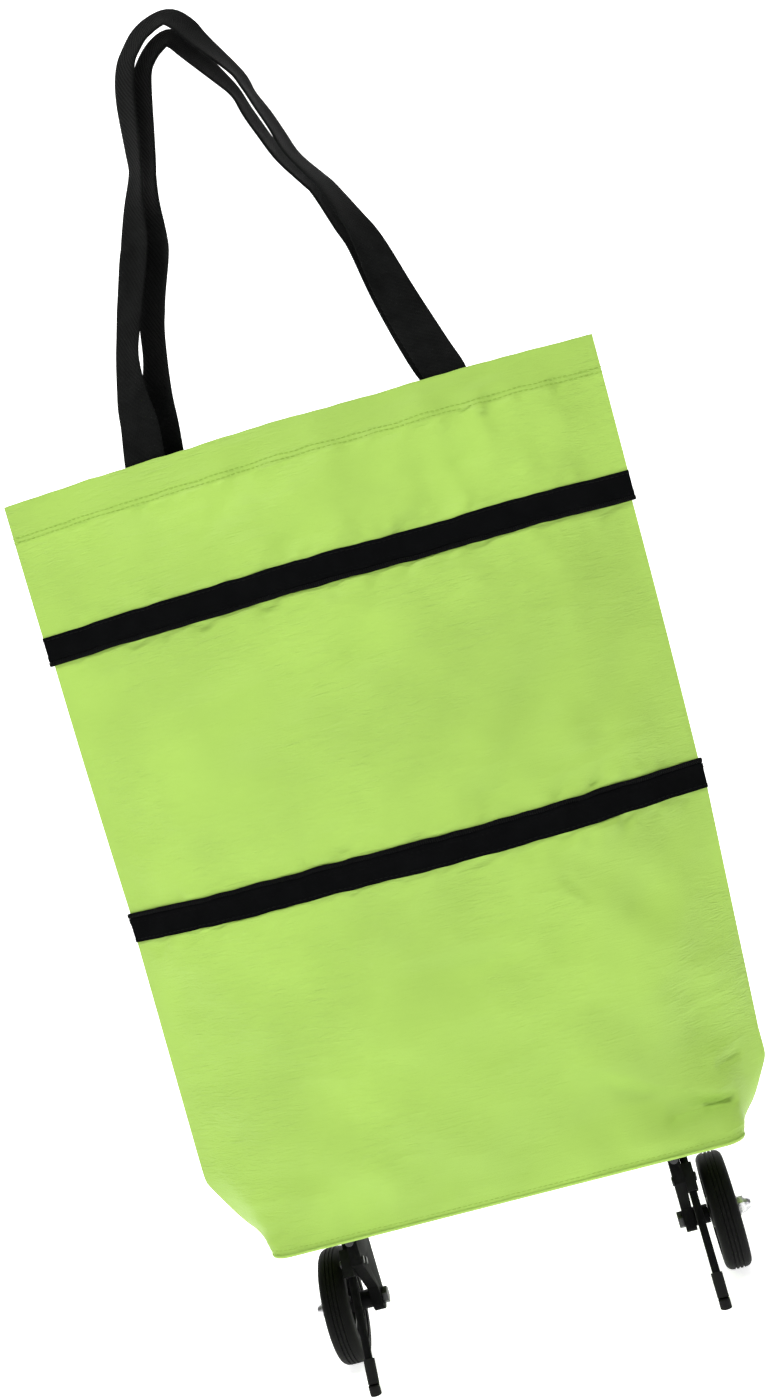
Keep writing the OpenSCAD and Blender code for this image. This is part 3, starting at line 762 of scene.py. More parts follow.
def refined(node, new_name, mat, width):
    """A copy of a CAD node with its corners rounded, as a plain mesh at the origin."""
    mesh = bpy.data.meshes.new(new_name)
    with edited(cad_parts[node].data, mesh) as bm:
        bmesh.ops.remove_doubles(bm, verts=bm.verts, dist=2e-6)
        bmesh.ops.dissolve_limit(bm, angle_limit=math.radians(1.0), verts=bm.verts,
                                 edges=bm.edges)
    o = placed(new_name, mesh)
    mod = bevel(o, width, 5 if width > 1.5 * MM else 3)
    mod.limit_method, mod.angle_limit = "ANGLE", math.radians(32)
    o = settled(o)
    finish(o.data, mat, 38)
    return o


def settled(o):
    """Turns an object with modifiers into a plain mesh and removes them."""
    deps = bpy.context.evaluated_depsgraph_get()
    mesh = bpy.data.meshes.new_from_object(o.evaluated_get(deps), depsgraph=deps)
    mesh.name = o.name
    o.modifiers.clear()
    old = o.data
    o.data = mesh
    if old.users == 0:
        bpy.data.meshes.remove(old)
    return o


def fix_outward(o):
    with edited(o.data) as bm:
        bmesh.ops.recalc_face_normals(bm, faces=bm.faces)


# ---- geometry node trees -----------------------------------------------------
def geometry_tree(name, inputs):
    """Turns a function that wires instances into one that gives the tree, made once."""
    def decorate(wired):
        def get():
            g = bpy.data.node_groups.get(name)
            if g is None:
                g = bpy.data.node_groups.new(name, "GeometryNodeTree")
                add_inputs(g, [("Geometry", "NodeSocketGeometry", None)] + inputs
                           + [("Material", "NodeSocketMaterial", None)])
                g.interface.new_socket("Geometry", in_out="OUTPUT",
                                       socket_type="NodeSocketGeometry")
                w = Wires(g)
                i, o = w.add("NodeGroupInput"), w.add("NodeGroupOutput")
                real = w.out("GeometryNodeRealizeInstances", {0: wired(w, i.outputs)})
                w.put(o.inputs[0], w.out("GeometryNodeSetMaterial", {
                    "Geometry": real, "Material": i.outputs["Material"]}))
            return g
        return get
    return decorate


@geometry_tree("row_along_line", [
    ("Spacing", F, 0.003), ("Item Length", F, 0.0024), ("Item Radius", F, 0.0004),
    ("Along", "NodeSocketBool", True), ("Jitter", F, 0.0), ("Seed", "NodeSocketInt", 1)])
def row_tree(w, i):
    """Small rounded items set along a line: stitches lie along it, teeth stand across it."""
    curve = w.out("GeometryNodeMeshToCurve", {"Mesh": i["Geometry"]})
    points = w.add("GeometryNodeCurveToPoints", {"Curve": curve, "Length": i["Spacing"]},
                   mode="LENGTH").outputs
    size = w.out("ShaderNodeCombineXYZ", {0: i["Item Radius"], 1: i["Item Radius"],
                                          2: w.times(i["Item Length"], 0.5)})
    ball = w.out("GeometryNodeMeshUVSphere", {"Segments": 7, "Rings": 5, "Radius": 1.0})
    smooth = w.out("GeometryNodeSetShadeSmooth", {0: ball})
    item = w.out("GeometryNodeTransform", {"Geometry": smooth, "Scale": size})
    turn = w.out("GeometryNodeSwitch", {"Switch": i["Along"], "True": points["Rotation"]},
                 input_type="ROTATION")
    shake = w.out("FunctionNodeRandomValue", {"Min": (-1, -1, -1), "Max": (1, 1, 1),
                                              "Seed": i["Seed"]}, data_type="FLOAT_VECTOR")
    moved = w.out("ShaderNodeVectorMath", {0: shake, "Scale": i["Jitter"]}, operation="SCALE")
    place = w.out("GeometryNodeInstanceOnPoints", {"Points": points["Points"],
                                                   "Instance": item, "Rotation": turn})
    return w.out("GeometryNodeTranslateInstances", {"Instances": place, "Translation": moved,
                                                    "Local Space": False})


@geometry_tree("round_the_axle", [("Count", "NodeSocketInt", 6), ("Centre", V, None)])
def radial_tree(w, i):
    """Copies of one part set round the wheel's axle."""
    line = w.out("GeometryNodeMeshLine", {"Count": i["Count"], "Offset": (0, 0, 0)})
    angle = w.times(w.out("GeometryNodeInputIndex"), w.math("DIVIDE", 2 * math.pi, i["Count"]))
    turn = w.out("ShaderNodeCombineXYZ", {0: angle})
    spot = w.out("GeometryNodeSetPosition", {"Geometry": line, "Position": i["Centre"]})
    return w.out("GeometryNodeInstanceOnPoints", {"Points": spot, "Instance": i["Geometry"],
                                                  "Rotation": turn})


def run_tree(o, tree, **values):
    """Puts a tree on an object, fills in its inputs by identifier, and settles the result."""
    mod = o.modifiers.new(tree.name, "NODES")
    mod.node_group = tree
    for item in tree.interface.items_tree:
        if item.item_type == "SOCKET" and item.in_out == "INPUT":
            key = item.name.replace(" ", "_")
            if key in values:
                mod[item.identifier] = values[key]
    o.update_tag()
    bpy.context.view_layer.update()
    o = settled(o)
    if len(o.data.materials) == 0:
        o.data.materials.append(values["Material"])
    return o


def done(o, body, slot, *nodes):
    if nodes:
        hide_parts(*nodes)
    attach(o, body)
    return o


def in_rows(name, rings, mat, body, slot, **values):
    """Stitches or teeth along closed rings of points, as one piece."""
    verts, edges = [], []
    for points in rings:
        start, n = len(verts), len(points)
        verts += [tuple(map(float, p)) for p in points]
        edges += [(start + i, start + (i + 1) % n) for i in range(n)]
    mesh = bpy.data.meshes.new(name)
    mesh.from_pydata(verts, edges, [])
    o = run_tree(placed(name, mesh), row_tree(), Material=material(mat), **values)
    return done(o, body, slot)


def sewn(name, rings, mat, body, slot, radius, seed, jitter=0.0):
    gap = sizes().stitch
    return in_rows(name, rings, mat, body, slot, Spacing=gap, Item_Length=gap * STITCH_SHARE,
                   Item_Radius=radius, Along=True, Jitter=jitter, Seed=seed)


# ---- pieces of the bag -------------------------------------------------------
CLOTH_N, ZIP_N = 176, 190          # points across one panel
STITCH_SHARE = 0.8                 # a stitch's length as a share of its spacing
INSET = 0.55 * MM                  # the middle section lies this far behind the tapes


def build_cloth():
    n, t, mat = CLOTH_N, sizes().cloth, material("nylon_green")
    low = shell("cloth_lower", np.linspace(BASE_Z + 0.6 * MM, LOW_Z + 2 * MM, 104), -t, 0, n, mat)
    done(low, "lower_bag", "nylon_green", "lower_section")
    foot = LOW_TEETH[0].z + 0.9 * MM
    mid = shell("cloth_middle", np.linspace(foot, HIGH_TEETH[0].z + 1.4 * MM, 84), -t - INSET,
                -INSET, n, mat)
    done(mid, "lower_bag", "nylon_green", "middle_section")
    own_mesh(mid)
    z = np.concatenate([np.linspace(HIGH_TAPE[0].z + 12 * MM, HEM_Z - 3 * MM, 36),
                        np.linspace(HEM_Z - 2 * MM, HEM_Z + 5 * MM, 14),
                        np.linspace(HEM_Z + 6.5 * MM, TOP_Z, 14)])
    done(shell("cloth_upper", z, -t, 0, n, mat), "upper_bag", "nylon_green", "upper_section")
    done(hem_facing(n, t, mat), "upper_bag", "nylon_green", "top_hem")


def hem_facing(n, t, mat):
    """The turned-in hem: it rolls over the top edge and runs down inside to its stitches."""
    rows = [(TOP_Z - 0.5 * MM + 1.17 * t * math.sin(q), 0.05 * MM - 1.05 * t * (1 - math.cos(q)))
            for q in np.linspace(0, math.pi, 7)]
    rows += [(z, -2.15 * t) for z in np.linspace(TOP_Z - 1.6 * MM, HEM_Z, 16)]
    verts = np.concatenate([hoop(z, off, n) for z, off in rows])
    o = make_mesh("cloth_hem", verts, grid_faces(len(rows), 2 * n), mat,
                  uv=panel_map(n, [z for z, _ in rows]), sharp=60, merge=1e-6)
    return thickened(o, 0.35 * MM)


def build_base():
    """Bottom panel with a piped edge, and the stiff board inside."""
    s = np.linspace(-1, 1, 90)
    rings = []
    for inset, lift in ((0, 1.4), (0, 0.7), (0.35, 0.2), (1.1, 0), (3.2, 0), (8.0, 0.1)):
        f = surface(s, BASE_Z, -inset * MM, -1, False)
        b = surface(s[::-1], BASE_Z, -inset * MM, 1, False)
        ring = np.concatenate([f[:-1], b[:-1]])
        ring[:, 2] = BASE_Z + lift * MM
        rings.append(ring)
    n = len(rings[0])
    centre = np.array([0, BAG_Y, BASE_Z + 0.1 * MM])
    inner = [centre + (rings[-1] - centre) * k for k in (0.85, 0.6, 0.3)]
    for k, r in enumerate(inner):
        r[:, 2] = BASE_Z + 0.1 * MM + 0.12 * MM * np.sin(r[:, 0] * 60) * (k + 1) / 3
    rings += inner
    verts = np.concatenate(rings + [[centre]])
    last = (len(rings) - 1) * n
    faces = grid_faces(len(rings), n)
    faces += [(last + j, len(verts) - 1, last + (j + 1) % n) for j in range(n)]
    o = make_mesh("cloth_base", verts, faces, material("nylon_green"), uv=verts[:, :2], sharp=50)
    o = thickened(o, 0.6 * MM)
    fix_outward(o)
    done(o, "lower_bag", "nylon_green", "base_panel")
    board = refined("base_board", "base_board_inside", material("base_board"), 0.8 * MM)
    done(board, "lower_bag", "board", "base_board")
    sewn("stitches_base", [hoop(BASE_Z + 3.4 * MM, 0.0, 150)], "green_thread", "lower_bag",
         "nylon_green", 0.2 * MM, 5, 0.04 * MM)


def build_hem_stitches():
    sewn("stitches_hem", [hoop(HEM_Z + dz * MM, 0.12 * MM, 170) for dz in (1.2, 4.0)],
         "green_thread", "upper_bag", "nylon_green", 0.24 * MM, 6, 0.05 * MM)


# section of a zip tape as (share of height, offset in mm): turned edges and a raised cord side
TAPE_STEPS = ((0.00, 0.35), (0.01, 0.80), (0.04, 1.00), (0.10, 0.95), (0.16, 0.62), (0.20, 0.62),
              (0.30, 0.72), (0.55, 0.66), (0.74, 0.70), (0.80, 0.92), (0.90, 1.15), (0.97, 1.08),
              (1.00, 0.60))
TAPE_IN = -0.5 * MM


def build_zips():
    n = ZIP_N
    mat = material("zip_tape")
    for name, tape, teeth, body, at_top in (
            ("lower", LOW_TAPE, LOW_TEETH, "lower_bag", True),
            ("upper", HIGH_TAPE, HIGH_TEETH, "upper_bag", False)):
        z0, z1 = tape[0].z, tape[1].z
        rows = [(z0 + (z1 - z0) * t, o * MM) for t, o in TAPE_STEPS]
        if not at_top:
            rows = [(z0 + z1 - z, o) for z, o in rows[::-1]]
        heights, offsets = zip(*rows)
        band = shell("zip_tape_band_" + name, heights, TAPE_IN, offsets, n, mat, False, 50)
        done(band, body, "zip_tape", "zip_tape_" + name)
        t0, t1 = teeth[0].z, teeth[1].z
        core = shell("zip_cord_" + name, np.linspace(t0, t1, 5), TAPE_IN, 0.35 * MM, n, mat,
                     False, 40)
        done(core, body, "zip_tape")
        coil = in_rows("zip_coil_" + name, [hoop((t0 + t1) / 2, 0.75 * MM, n, False)],
                       "zip_teeth", body, "zip_teeth", Spacing=sizes().tooth,
                       Item_Length=(t1 - t0) * 0.96, Item_Radius=0.5 * MM, Along=False,
                       Jitter=0.0, Seed=3)
        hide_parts("zip_teeth_" + name)
        edge = z0 + 2.0 * MM if at_top else z1 - 2.0 * MM
        cord = z1 - 2.6 * MM if at_top else z0 + 2.6 * MM
        sewn("stitches_tape_" + name,
             [hoop(edge, 0.80 * MM, n, False), hoop(cord, 0.78 * MM, n, False)],
             "black_thread", body, "zip_tape", 0.24 * MM, 8)


def build_slider():
    metal = material("zip_metal")
    for node, name, width, body in (("zip_slider", "zip_slider_body", 0.35, "slider"),
                                    ("zip_pull", "zip_pull_tab", 0.3, "pull_tab"),
                                    ("zip_stops", "zip_stop_pair", 0.3, "upper_bag")):
        done(refined(node, name, metal, width * MM), body, "zip_metal", node)


# ---- straps ------------------------------------------------------------------
# rows as in the design: across, up, set in, turn
FRONT_ROWS = (
    (-1.054, 0.003, 0, 0), (-1.032, 0.086, 0.3, 15), (-1.032, 0.145, 0.6, 32),
    (-0.997, 0.242, 1.4, 57), (-0.939, 0.313, 2.4, 63), (-0.877, 0.379, 3.4, 64),
    (-0.79, 0.465, 4, 58), (-0.748, 0.508, 4, 62), (-0.688, 0.59, 4, 69),
    (-0.616, 0.668, 4, 72), (-0.591, 0.73, 4, 70), (-0.552, 0.84, 4, 66),
    (-0.5, 0.906, 4, 66), (-0.43, 0.941, 4, 66), (-0.323, 0.973, 4, 65),
    (-0.16, 0.988, 4, 64), (-0.06, 0.96, 4, 64), (0.004, 0.922, 4, 66),
    (0.19, 0.82, 4, 70), (0.239, 0.77, 4, 75), (0.294, 0.715, 4, 72),
    (0.345, 0.66, 4, 72), (0.4, 0.598, 4, 70), (0.505, 0.535, 4, 66),
    (0.56, 0.502, 4, 64), (0.66, 0.414, 3.4, 56), (0.715, 0.352, 2.4, 45),
    (0.79, 0.219, 1, 22), (0.906, 0.07, 0.3, 8), (0.965, 0.003, 0, 0))
REAR_ROWS = (
    (-0.946, 0.003, 0, 0), (-0.914, 0.086, 0.3, 15), (-0.887, 0.145, 0.6, 32),
    (-0.823, 0.242, 1.4, 57), (-0.785, 0.313, 2.4, 63), (-0.729, 0.379, 3.4, 64),
    (-0.645, 0.465, 4, 58), (-0.615, 0.508, 4, 62), (-0.577, 0.59, 4, 69),
    (-0.519, 0.668, 4, 72), (-0.487, 0.73, 4, 70), (-0.439, 0.83, 4, 66),
    (-0.4, 0.885, 4, 66), (-0.345, 0.916, 4, 66), (-0.27, 0.94, 4, 65),
    (-0.18, 0.954, 4, 64), (-0.11, 0.935, 4, 64), (-0.06, 0.905, 4, 66),
    (0.105, 0.81, 4, 70), (0.165, 0.765, 4, 75), (0.207, 0.715, 4, 72),
    (0.262, 0.66, 4, 72), (0.336, 0.596, 4, 70), (0.455, 0.53, 4, 66),
    (0.51, 0.497, 4, 64), (0.6, 0.41, 3.4, 56), (0.675, 0.348, 2.4, 45),
    (0.768, 0.217, 1, 22), (0.88, 0.069, 0.3, 8), (0.95, 0.003, 0, 0))
SPREAD, RISE = 0.093, 0.256
LEAN = 0.0054
OPEN = ((0, 0.12, 0.2, 0.27, 0.34, 0.48, 0.6, 1),
        (0.15, 0.12, 0.36, 0.36, 0.14, 0.27, 0.0, 0.03))
INSIDE = 0.0078


def smooth_rows(points, count):
    """Catmull-Rom curve through the rows, evenly spaced by length."""
    p = np.asarray(points, float)
    p = np.concatenate([[2 * p[0] - p[1]], p, [2 * p[-1] - p[-2]]])
    out = []
    for i in range(1, len(p) - 2):
        for t in np.linspace(0, 1, 16, endpoint=False):
            a, b, c, d = p[i - 1:i + 3]
            out.append(0.5 * (2 * b + (c - a) * t + (2 * a - 5 * b + 4 * c - d) * t ** 2
                              + (3 * b - a - 3 * c + d) * t ** 3))
    out.append(p[-2])
    out = np.array(out)
    for _ in range(6):
        out[1:-1] = 0.25 * out[:-2] + 0.5 * out[1:-1] + 0.25 * out[2:]
    step = np.linalg.norm(np.diff(out[:, :3], axis=0), axis=1)
    at = np.concatenate([[0], np.cumsum(step)])
    want = np.linspace(0, at[-1], count)
    return np.stack([np.interp(want, at, out[:, k]) for k in range(out.shape[1])], -1), at[-1]


def strap_section():
    """Half-rounded flat section: points as (share of width, share of thickness)."""
    pts = []
    for t in np.linspace(-0.47, 0.47, 11):
        pts.append((t, -0.5 + 0.06 * math.cos(t * 9)))
    pts += [(0.492, -0.32), (0.5, 0.0), (0.492, 0.32)]
    for t in np.linspace(0.47, -0.47, 11):
        pts.append((t, 0.5 - 0.06 * math.cos(t * 9)))
    pts += [(-0.492, 0.32), (-0.5, 0.0), (-0.492, -0.32)]
    return np.array(pts)


def build_strap(name, rows, back, nodes):
    s = sizes()
    g = 1 if back else -1
    y = BAG_Y + g * INSIDE
    tails = [[(row[0] * SPREAD, y, TOP_Z + RISE * row[1] - d * MM, 0.0) for d in (30, 22, 14, 7)]
             for row in (rows[0], rows[-1])]
    mid = [(r[0] * SPREAD, BAG_Y + g * (INSIDE - r[2] * MM), TOP_Z + RISE * r[1],
            math.radians(r[3])) for r in rows]
    path = tails[0] + mid + tails[1][::-1]
    curve, length = smooth_rows(path, 330)
    share = np.linspace(0, 1, len(curve))
    curve[:, 0] += LEAN
    if not back:
        curve[:, 0] += 1.6 * MM * np.interp(share, [0, 0.1, 0.45, 0.55], [0, 1, 1, 0])
    tangent = np.gradient(curve[:, :3], axis=0)
    tangent[:, 1] = 0
    tangent /= np.linalg.norm(tangent, axis=1)[:, None]
    section = strap_section()
    rings, uvs = [], []
    cup = Ripple(31 + g, 8, 0.05, 0.2)
    for c, t, part in zip(curve, tangent, share):
        u = np.array([-t[2], 0, t[0]])
        q = c[3] * (1 - np.interp(part, *OPEN))
        w = math.cos(q) * u + math.sin(q) * np.array([0, 1, 0])
        v = -math.sin(q) * u + math.cos(q) * np.array([0, 1, 0])
        at = part * length
        free = min(1, max(0, (c[2] - TOP_Z) / 0.03))
        bend = free * (0.72 * MM * math.sin(q) + 0.35 * MM * float(cup(at, 0.0)))
        ring = []
        for a, b in section:
            lift = bend * (1 - (2 * a) ** 2)
            ring.append(c[:3] + w * a * s.webbing + v * (b * s.webbing_thick + lift - bend * 0.4))
            uvs.append((at, a * s.webbing))
        rings.append(np.array(ring))
    uvs += [uvs[0], uvs[-1]]
    o = loft(name, rings, material("strap_webbing"), sharp=60, uv=np.array(uvs))
    fix_outward(o)
    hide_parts(*nodes)
    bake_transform(o)


def build_straps():
    build_strap("strap_front_webbing", FRONT_ROWS, False, ("strap_front", "strap_ends_front"))
    build_strap("strap_rear_webbing", REAR_ROWS, True, ("strap_rear", "strap_ends_rear"))


# ---- running gear ------------------------------------------------------------
# part, finish, rounding in mm, where it rides, slot
GEAR = (("flange", "painted_steel", 0.5, "bag", "black_metal"),
        ("bracket", "painted_steel", 0.7, "arm", "black_metal"),
        ("leg", "painted_steel", 0.4, "arm", "black_metal"),
        ("leg_clamp", "moulded_black", 0.5, "arm", "black_plastic"),
        ("foot", "foot_rubber", 1.9, "arm", "foot_rubber"),
        ("spacer", "moulded_black", 0.4, "arm", "black_plastic"),
        ("acorn_nut", "bright_nut", 0.3, "arm", "nut_chrome"),
        ("axle_bolt", "dark_steel", 0.3, "arm", "steel"),
        ("hinge_pin", "dark_steel", 0.25, "bag", "steel"),
        ("clamp_rivets", "dark_steel", 0.3, "arm", "steel"))
# parts shown as in the design, with a finer finish
PLAIN = (("flange_rivets", "dark_steel"), ("flange_washers", "dark_steel"),
         ("axle_washer", "plated_steel"))


def build_gear(side):
    bodies = {"bag": "lower_bag", "arm": "arm_" + side}
    for part, mat, width, rides, slot in GEAR:
        node = f"{part}_{side}"
        o = refined(node, f"{part}_finished_{side}", material(mat), width * MM)
        done(o, bodies[rides], slot, node)
    for part, mat in PLAIN:
        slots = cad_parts[f"{part}_{side}"].data.materials
        slots.clear()
        slots.append(material(mat))


def lathe(name, profile, centre, mat, steps=96, sharp=35):
    """Turns a closed profile of (along the axle, radius) round the wheel's axle."""
    n = len(profile)
    verts, faces = [], []
    for k in range(steps):
        a = 2 * math.pi * k / steps
        for x, r in profile:
            verts.append((centre[0] + x, centre[1] + r * math.cos(a), centre[2] + r * math.sin(a)))
        for j in range(n):
            here, there, i = k * n, (k + 1) % steps * n, (j + 1) % n
            faces.append((here + j, there + j, there + i, here + i))
    o = make_mesh(name, verts, faces, mat, sharp=sharp)
    fix_outward(o)
    return o


# the tread's crown as (along the axle, out) in mm: two narrow grooves and one in the middle
CROWN = ((-3.4, -0.08), (-2.9, -0.05), (-2.7, -0.75), (-2.1, -0.75), (-1.9, -0.03), (-0.5, 0.0),
         (-0.35, -0.7), (0.35, -0.7), (0.5, 0.0), (1.9, -0.03), (2.1, -0.75), (2.7, -0.75),
         (2.9, -0.05), (3.4, -0.08))
BOSS = ((0.0, 8.6), (0.6, 8.7), (1.2, 8.3), (1.5, 7.6), (1.5, 4.2), (0.0, 4.2))
RIM_SHARE = 0.74
RIBS = 6


def both_ways(half):
    """Half a profile and its mirror image, as one closed profile."""
    return half + [(-x, r) for x, r in half[::-1]]


def tyre_profile(h, r, rim):
    side = [(-h + 0.6 * MM, rim), (-h + 0.6 * MM, rim + 2.0 * MM)]
    side += [(-h + (4.9 - 4.3 * math.cos(q)) * MM, r + (4.4 * math.sin(q) - 4.6) * MM)
             for q in np.linspace(0, math.pi / 2, 9)]
    crown = [(x * MM, r + y * MM) for x, y in CROWN]
    return both_ways(side + crown[:len(crown) // 2])


def disc_profile(h, rim, bore, hub):
    return both_ways([
        (-h, bore), (-h, hub - 0.8 * MM), (-h + 0.8 * MM, hub), (-2.6 * MM, hub + 0.5 * MM),
        (-1.6 * MM, hub + 1.6 * MM), (-1.5 * MM, rim - 4.4 * MM), (-2.4 * MM, rim - 3.6 * MM),
        (-h + 2.0 * MM, rim - 3.1 * MM), (-h + 1.5 * MM, rim - 2.6 * MM),
        (-h + 1.4 * MM, rim - 0.01 * MM)])


def rib_mesh(name, h, rim, hub, mat):
    """One spoke of the disc, from the hub to the rim, thickest in its middle."""
    verts, faces = [], []
    for inset, z in ((2.4, hub - 0.4 * MM), (1.9, hub + 4 * MM), (2.4, rim - 3.0 * MM)):
        x = h - inset * MM
        verts += [(-x, -1.3 * MM, z), (x, -1.3 * MM, z), (x, 1.3 * MM, z), (-x, 1.3 * MM, z)]
    for i in (0, 4):
        faces += [(i + j, i + (j + 1) % 4, i + 4 + (j + 1) % 4, i + 4 + j) for j in range(4)]
    faces += [(3, 2, 1, 0), (8, 9, 10, 11)]
    o = make_mesh(name, verts, faces, mat, sharp=30)
    bevel(o, 0.35 * MM, 2)
    return settled(o)


def build_wheel(side, out):
    body = "wheel_" + side
    core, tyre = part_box("wheel_core_" + side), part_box("tyre_" + side)
    h = (core[1].x - core[0].x) / 2
    r = (tyre[1].z - tyre[0].z) / 2
    centre = ((core[0].x + core[1].x) / 2, (tyre[0].y + tyre[1].y) / 2,
              (tyre[0].z + tyre[1].z) / 2)
    rim, bore, hub = r * RIM_SHARE, 3.3 * MM, 9.0 * MM
    o = lathe("tyre_round_" + side, tyre_profile(h, r, rim), centre, material("tyre_rubber"), 128)
    done(o, body, "tyre", "tyre_" + side)
    plastic = material("wheel_plastic")
    disc = lathe("wheel_disc_" + side, disc_profile(h, rim, bore, hub), centre, plastic, 96, 30)
    done(disc, body, "wheel_plastic", "wheel_core_" + side)
    ribs = run_tree(rib_mesh("wheel_ribs_" + side, h, rim, hub, plastic), radial_tree(),
                    Count=RIBS, Centre=centre, Material=plastic)
    done(ribs, body, "wheel_plastic")
    face = (centre[0] + out * (h - 1.2 * MM), centre[1], centre[2])
    boss = [(out * x * MM * 0.75, y * MM) for x, y in BOSS]
    done(lathe("wheel_boss_" + side, boss, face, plastic, 64, 30), body, "wheel_plastic")


# ---- stage -------------------------------------------------------------------
SENSOR, LENS = 36, 43.0            # mm
CAMERA_TURN, CAMERA_ROLL = 4.5, -15.7
LAMP_AIM = (0, 0, 0.4)
# name, place, width and height in metres, watts, colour
LAMPS = (("key", (-0.62, -1.05, 2.5), (0.45, 0.45), 47, (1, 0.99, 0.98)),
         ("fill", (1.5, -1.9, 0.9), (1.2, 1.2), 8, (0.98, 0.99, 1)),
         ("low", (-1.3, -1.4, 0.2), (0.8, 0.8), 1.8, (1, 1, 1)),
         ("top", (0.1, 0.2, 2.6), (1.6, 1.6), 4, (1, 1, 1)),
         ("back", (0.3, 1.7, 1.2), (1.6, 1.2), 6, (1, 1, 1)))


def build_stage():
    m, w, bsdf, place, _ = new_material("studio_paper")
    paper = w.mixed(w.noise(place, 60.0, 3.0, 0.5), shade((0.93,) * 3, 1), shade((0.96,) * 3, 1))
    w.fill(bsdf, Base_Color=paper, Roughness=0.95, Specular_IOR_Level=0.0,
           Emission_Color=(1, 1, 1, 1), Emission_Strength=0.80)
    rows = [(-3.2, 0.0), (1.2, 0.0)]
    for q in np.linspace(0, math.pi / 2, 14)[1:]:
        rows.append((1.2 + 0.9 * math.sin(q), 0.9 - 0.9 * math.cos(q)))
    rows.append((2.1, 4.2))
    verts = [(x, y, z) for y, z in rows for x in (-4.0, 4.0)]
    faces = [(2 * i, 2 * i + 1, 2 * i + 3, 2 * i + 2) for i in range(len(rows) - 1)]
    floor = make_mesh("studio_floor", verts, faces, m)

    for name, place, size, power, tint in LAMPS:
        data = bpy.data.lights.new(name, "AREA")
        data.shape, data.size, data.size_y = "RECTANGLE", size[0], size[1]
        data.energy, data.color = power, tint
        o = placed(name, data)
        o.location = place
        o.rotation_mode = "QUATERNION"
        o.rotation_quaternion = (Vector(LAMP_AIM) - Vector(place)).to_track_quat("-Z", "Y")
    world = bpy.data.worlds.new("studio")
    world.use_nodes = True
    sky = Wires(world.node_tree)
    back = world.node_tree.nodes["Background"]
    back.inputs["Color"].default_value = (1, 1, 1, 1)
    seen = sky.add("ShaderNodeLightPath").outputs["Is Camera Ray"]
    sky.put(back.inputs["Strength"], sky.ramp(seen, 0.0, 1.0, 0.13, 1.0))
    bpy.context.scene.world = world
    bpy.context.scene.view_settings.view_transform = "Standard"

    data = bpy.data.cameras.new("camera")
    data.sensor_width, data.lens = SENSOR, LENS
    cam = placed("camera", data)
    turn = math.radians(CAMERA_TURN)
    aim = Vector((0.0068, BAG_Y, 0.3895))
    place = aim + Vector((math.sin(turn), -math.cos(turn), 0))
    look = (aim - place).to_track_quat("-Z", "Y").to_matrix().to_4x4()
    roll = Matrix.Rotation(math.radians(CAMERA_ROLL), 4, "Z")
    cam.matrix_world = Matrix.Translation(place) @ look @ roll
    bpy.context.scene.camera = cam


# ---- operators and panel -----------------------------------------------------
class ToteOperator:
    bl_options = {"REGISTER", "UNDO"}

    def execute(self, context):
        self.build()
        return {"FINISHED"}


class TOTE_OT_stage(ToteOperator, bpy.types.Operator):
    """Floor, lights and camera"""
    bl_idname = "tote.stage"
    bl_label = "Stage"

    def build(self):
        build_stage()


class TOTE_OT_cloth(ToteOperator, bpy.types.Operator):
    """The three nylon sections and the hem"""
    bl_idname = "tote.cloth"
    bl_label = "Cloth sections"

    def build(self):
        build_cloth()


class TOTE_OT_base(ToteOperator, bpy.types.Operator):
    """Bottom panel, its stitches and the board"""
    bl_idname = "tote.base"
    bl_label = "Base"

    def build(self):
        build_base()


class TOTE_OT_hem_stitches(ToteOperator, bpy.types.Operator):
    """Two rows of stitches under the mouth"""
    bl_idname = "tote.hem_stitches"
    bl_label = "Hem stitches"

    def build(self):
        build_hem_stitches()


class TOTE_OT_zips(ToteOperator, bpy.types.Operator):
    """Tapes, coils and their stitches"""
    bl_idname = "tote.zips"
    bl_label = "Zip bands"

    def build(self):
        build_zips()


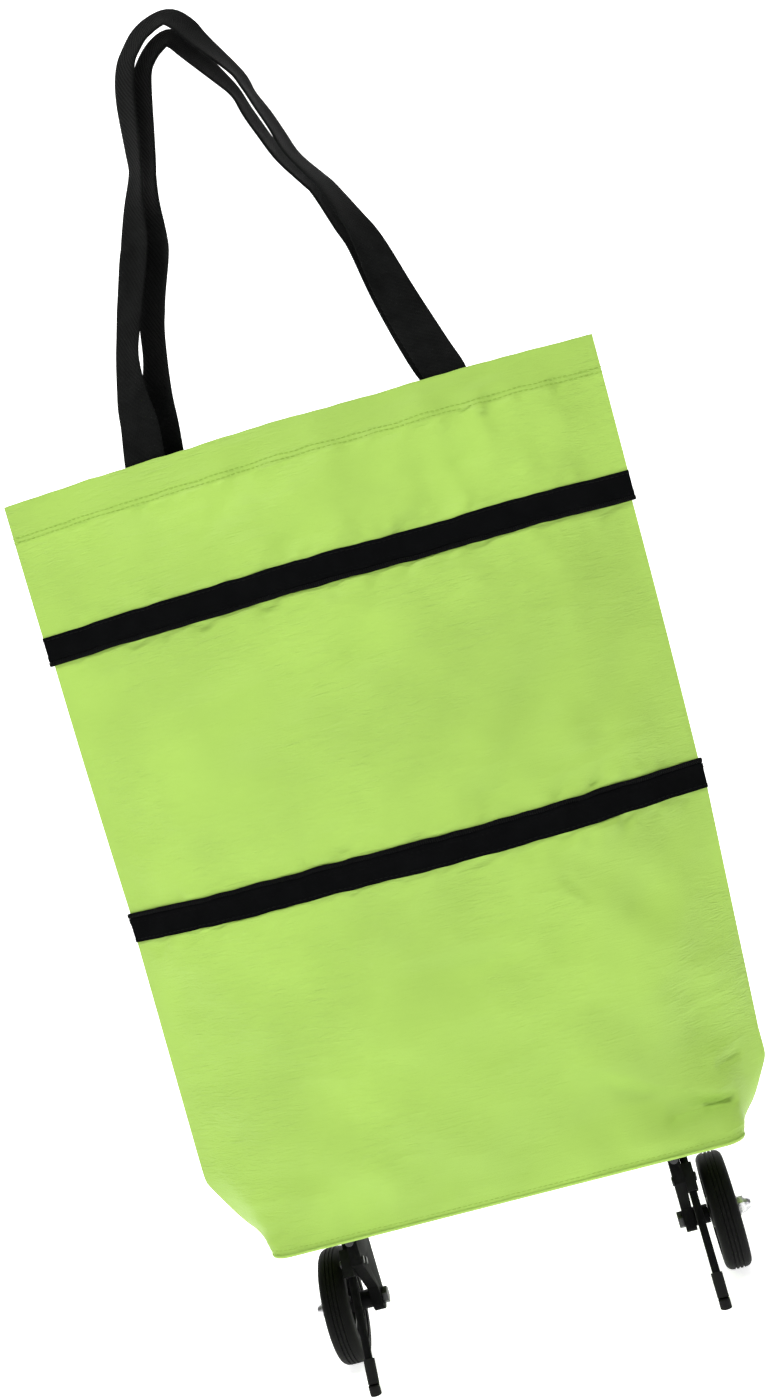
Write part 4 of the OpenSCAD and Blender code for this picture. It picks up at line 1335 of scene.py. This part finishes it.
class TOTE_OT_slider(ToteOperator, bpy.types.Operator):
    """Slider, pull tab and stops"""
    bl_idname = "tote.slider"
    bl_label = "Zip slider"

    def build(self):
        build_slider()


class TOTE_OT_straps(ToteOperator, bpy.types.Operator):
    """Two webbing straps"""
    bl_idname = "tote.straps"
    bl_label = "Straps"

    def build(self):
        build_straps()


class TOTE_OT_gear(ToteOperator, bpy.types.Operator):
    """Flanges, arms, legs and fastenings"""
    bl_idname = "tote.gear"
    bl_label = "Running gear"

    def build(self):
        for side, _ in SIDES:
            build_gear(side)


class TOTE_OT_wheels(ToteOperator, bpy.types.Operator):
    """Tyres, discs, ribs and bosses"""
    bl_idname = "tote.wheels"
    bl_label = "Wheels"

    def build(self):
        for side, out in SIDES:
            build_wheel(side, out)


OPERATORS = (TOTE_OT_stage, TOTE_OT_cloth, TOTE_OT_base, TOTE_OT_hem_stitches, TOTE_OT_zips,
             TOTE_OT_slider, TOTE_OT_straps, TOTE_OT_gear, TOTE_OT_wheels)


class TOTE_PT_panel(bpy.types.Panel):
    bl_idname = "TOTE_PT_panel"
    bl_label = "Trolley tote"
    bl_space_type = "VIEW_3D"
    bl_region_type = "UI"
    bl_category = "Tote"

    def draw(self, context):
        for group in (context.scene.tote_sizes, context.scene.tote_colours):
            box = self.layout.box()
            for name in group.bl_rna.properties.keys():
                if name not in ("rna_type", "name"):
                    box.prop(group, name)
        for cls in OPERATORS:
            self.layout.operator(cls.bl_idname)


CLASSES = (ToteSizes, ToteColours) + OPERATORS + (TOTE_PT_panel,)


def register():
    for cls in CLASSES:
        bpy.utils.register_class(cls)
    bpy.types.Scene.tote_sizes = bpy.props.PointerProperty(type=ToteSizes)
    bpy.types.Scene.tote_colours = bpy.props.PointerProperty(type=ToteColours)


def unregister():
    del bpy.types.Scene.tote_sizes, bpy.types.Scene.tote_colours
    for cls in reversed(CLASSES):
        bpy.utils.unregister_class(cls)


def main():
    register()
    for cls in OPERATORS:
        group, name = cls.bl_idname.split(".")
        getattr(getattr(bpy.ops, group), name)()


if __name__ == "__main__":
    main()
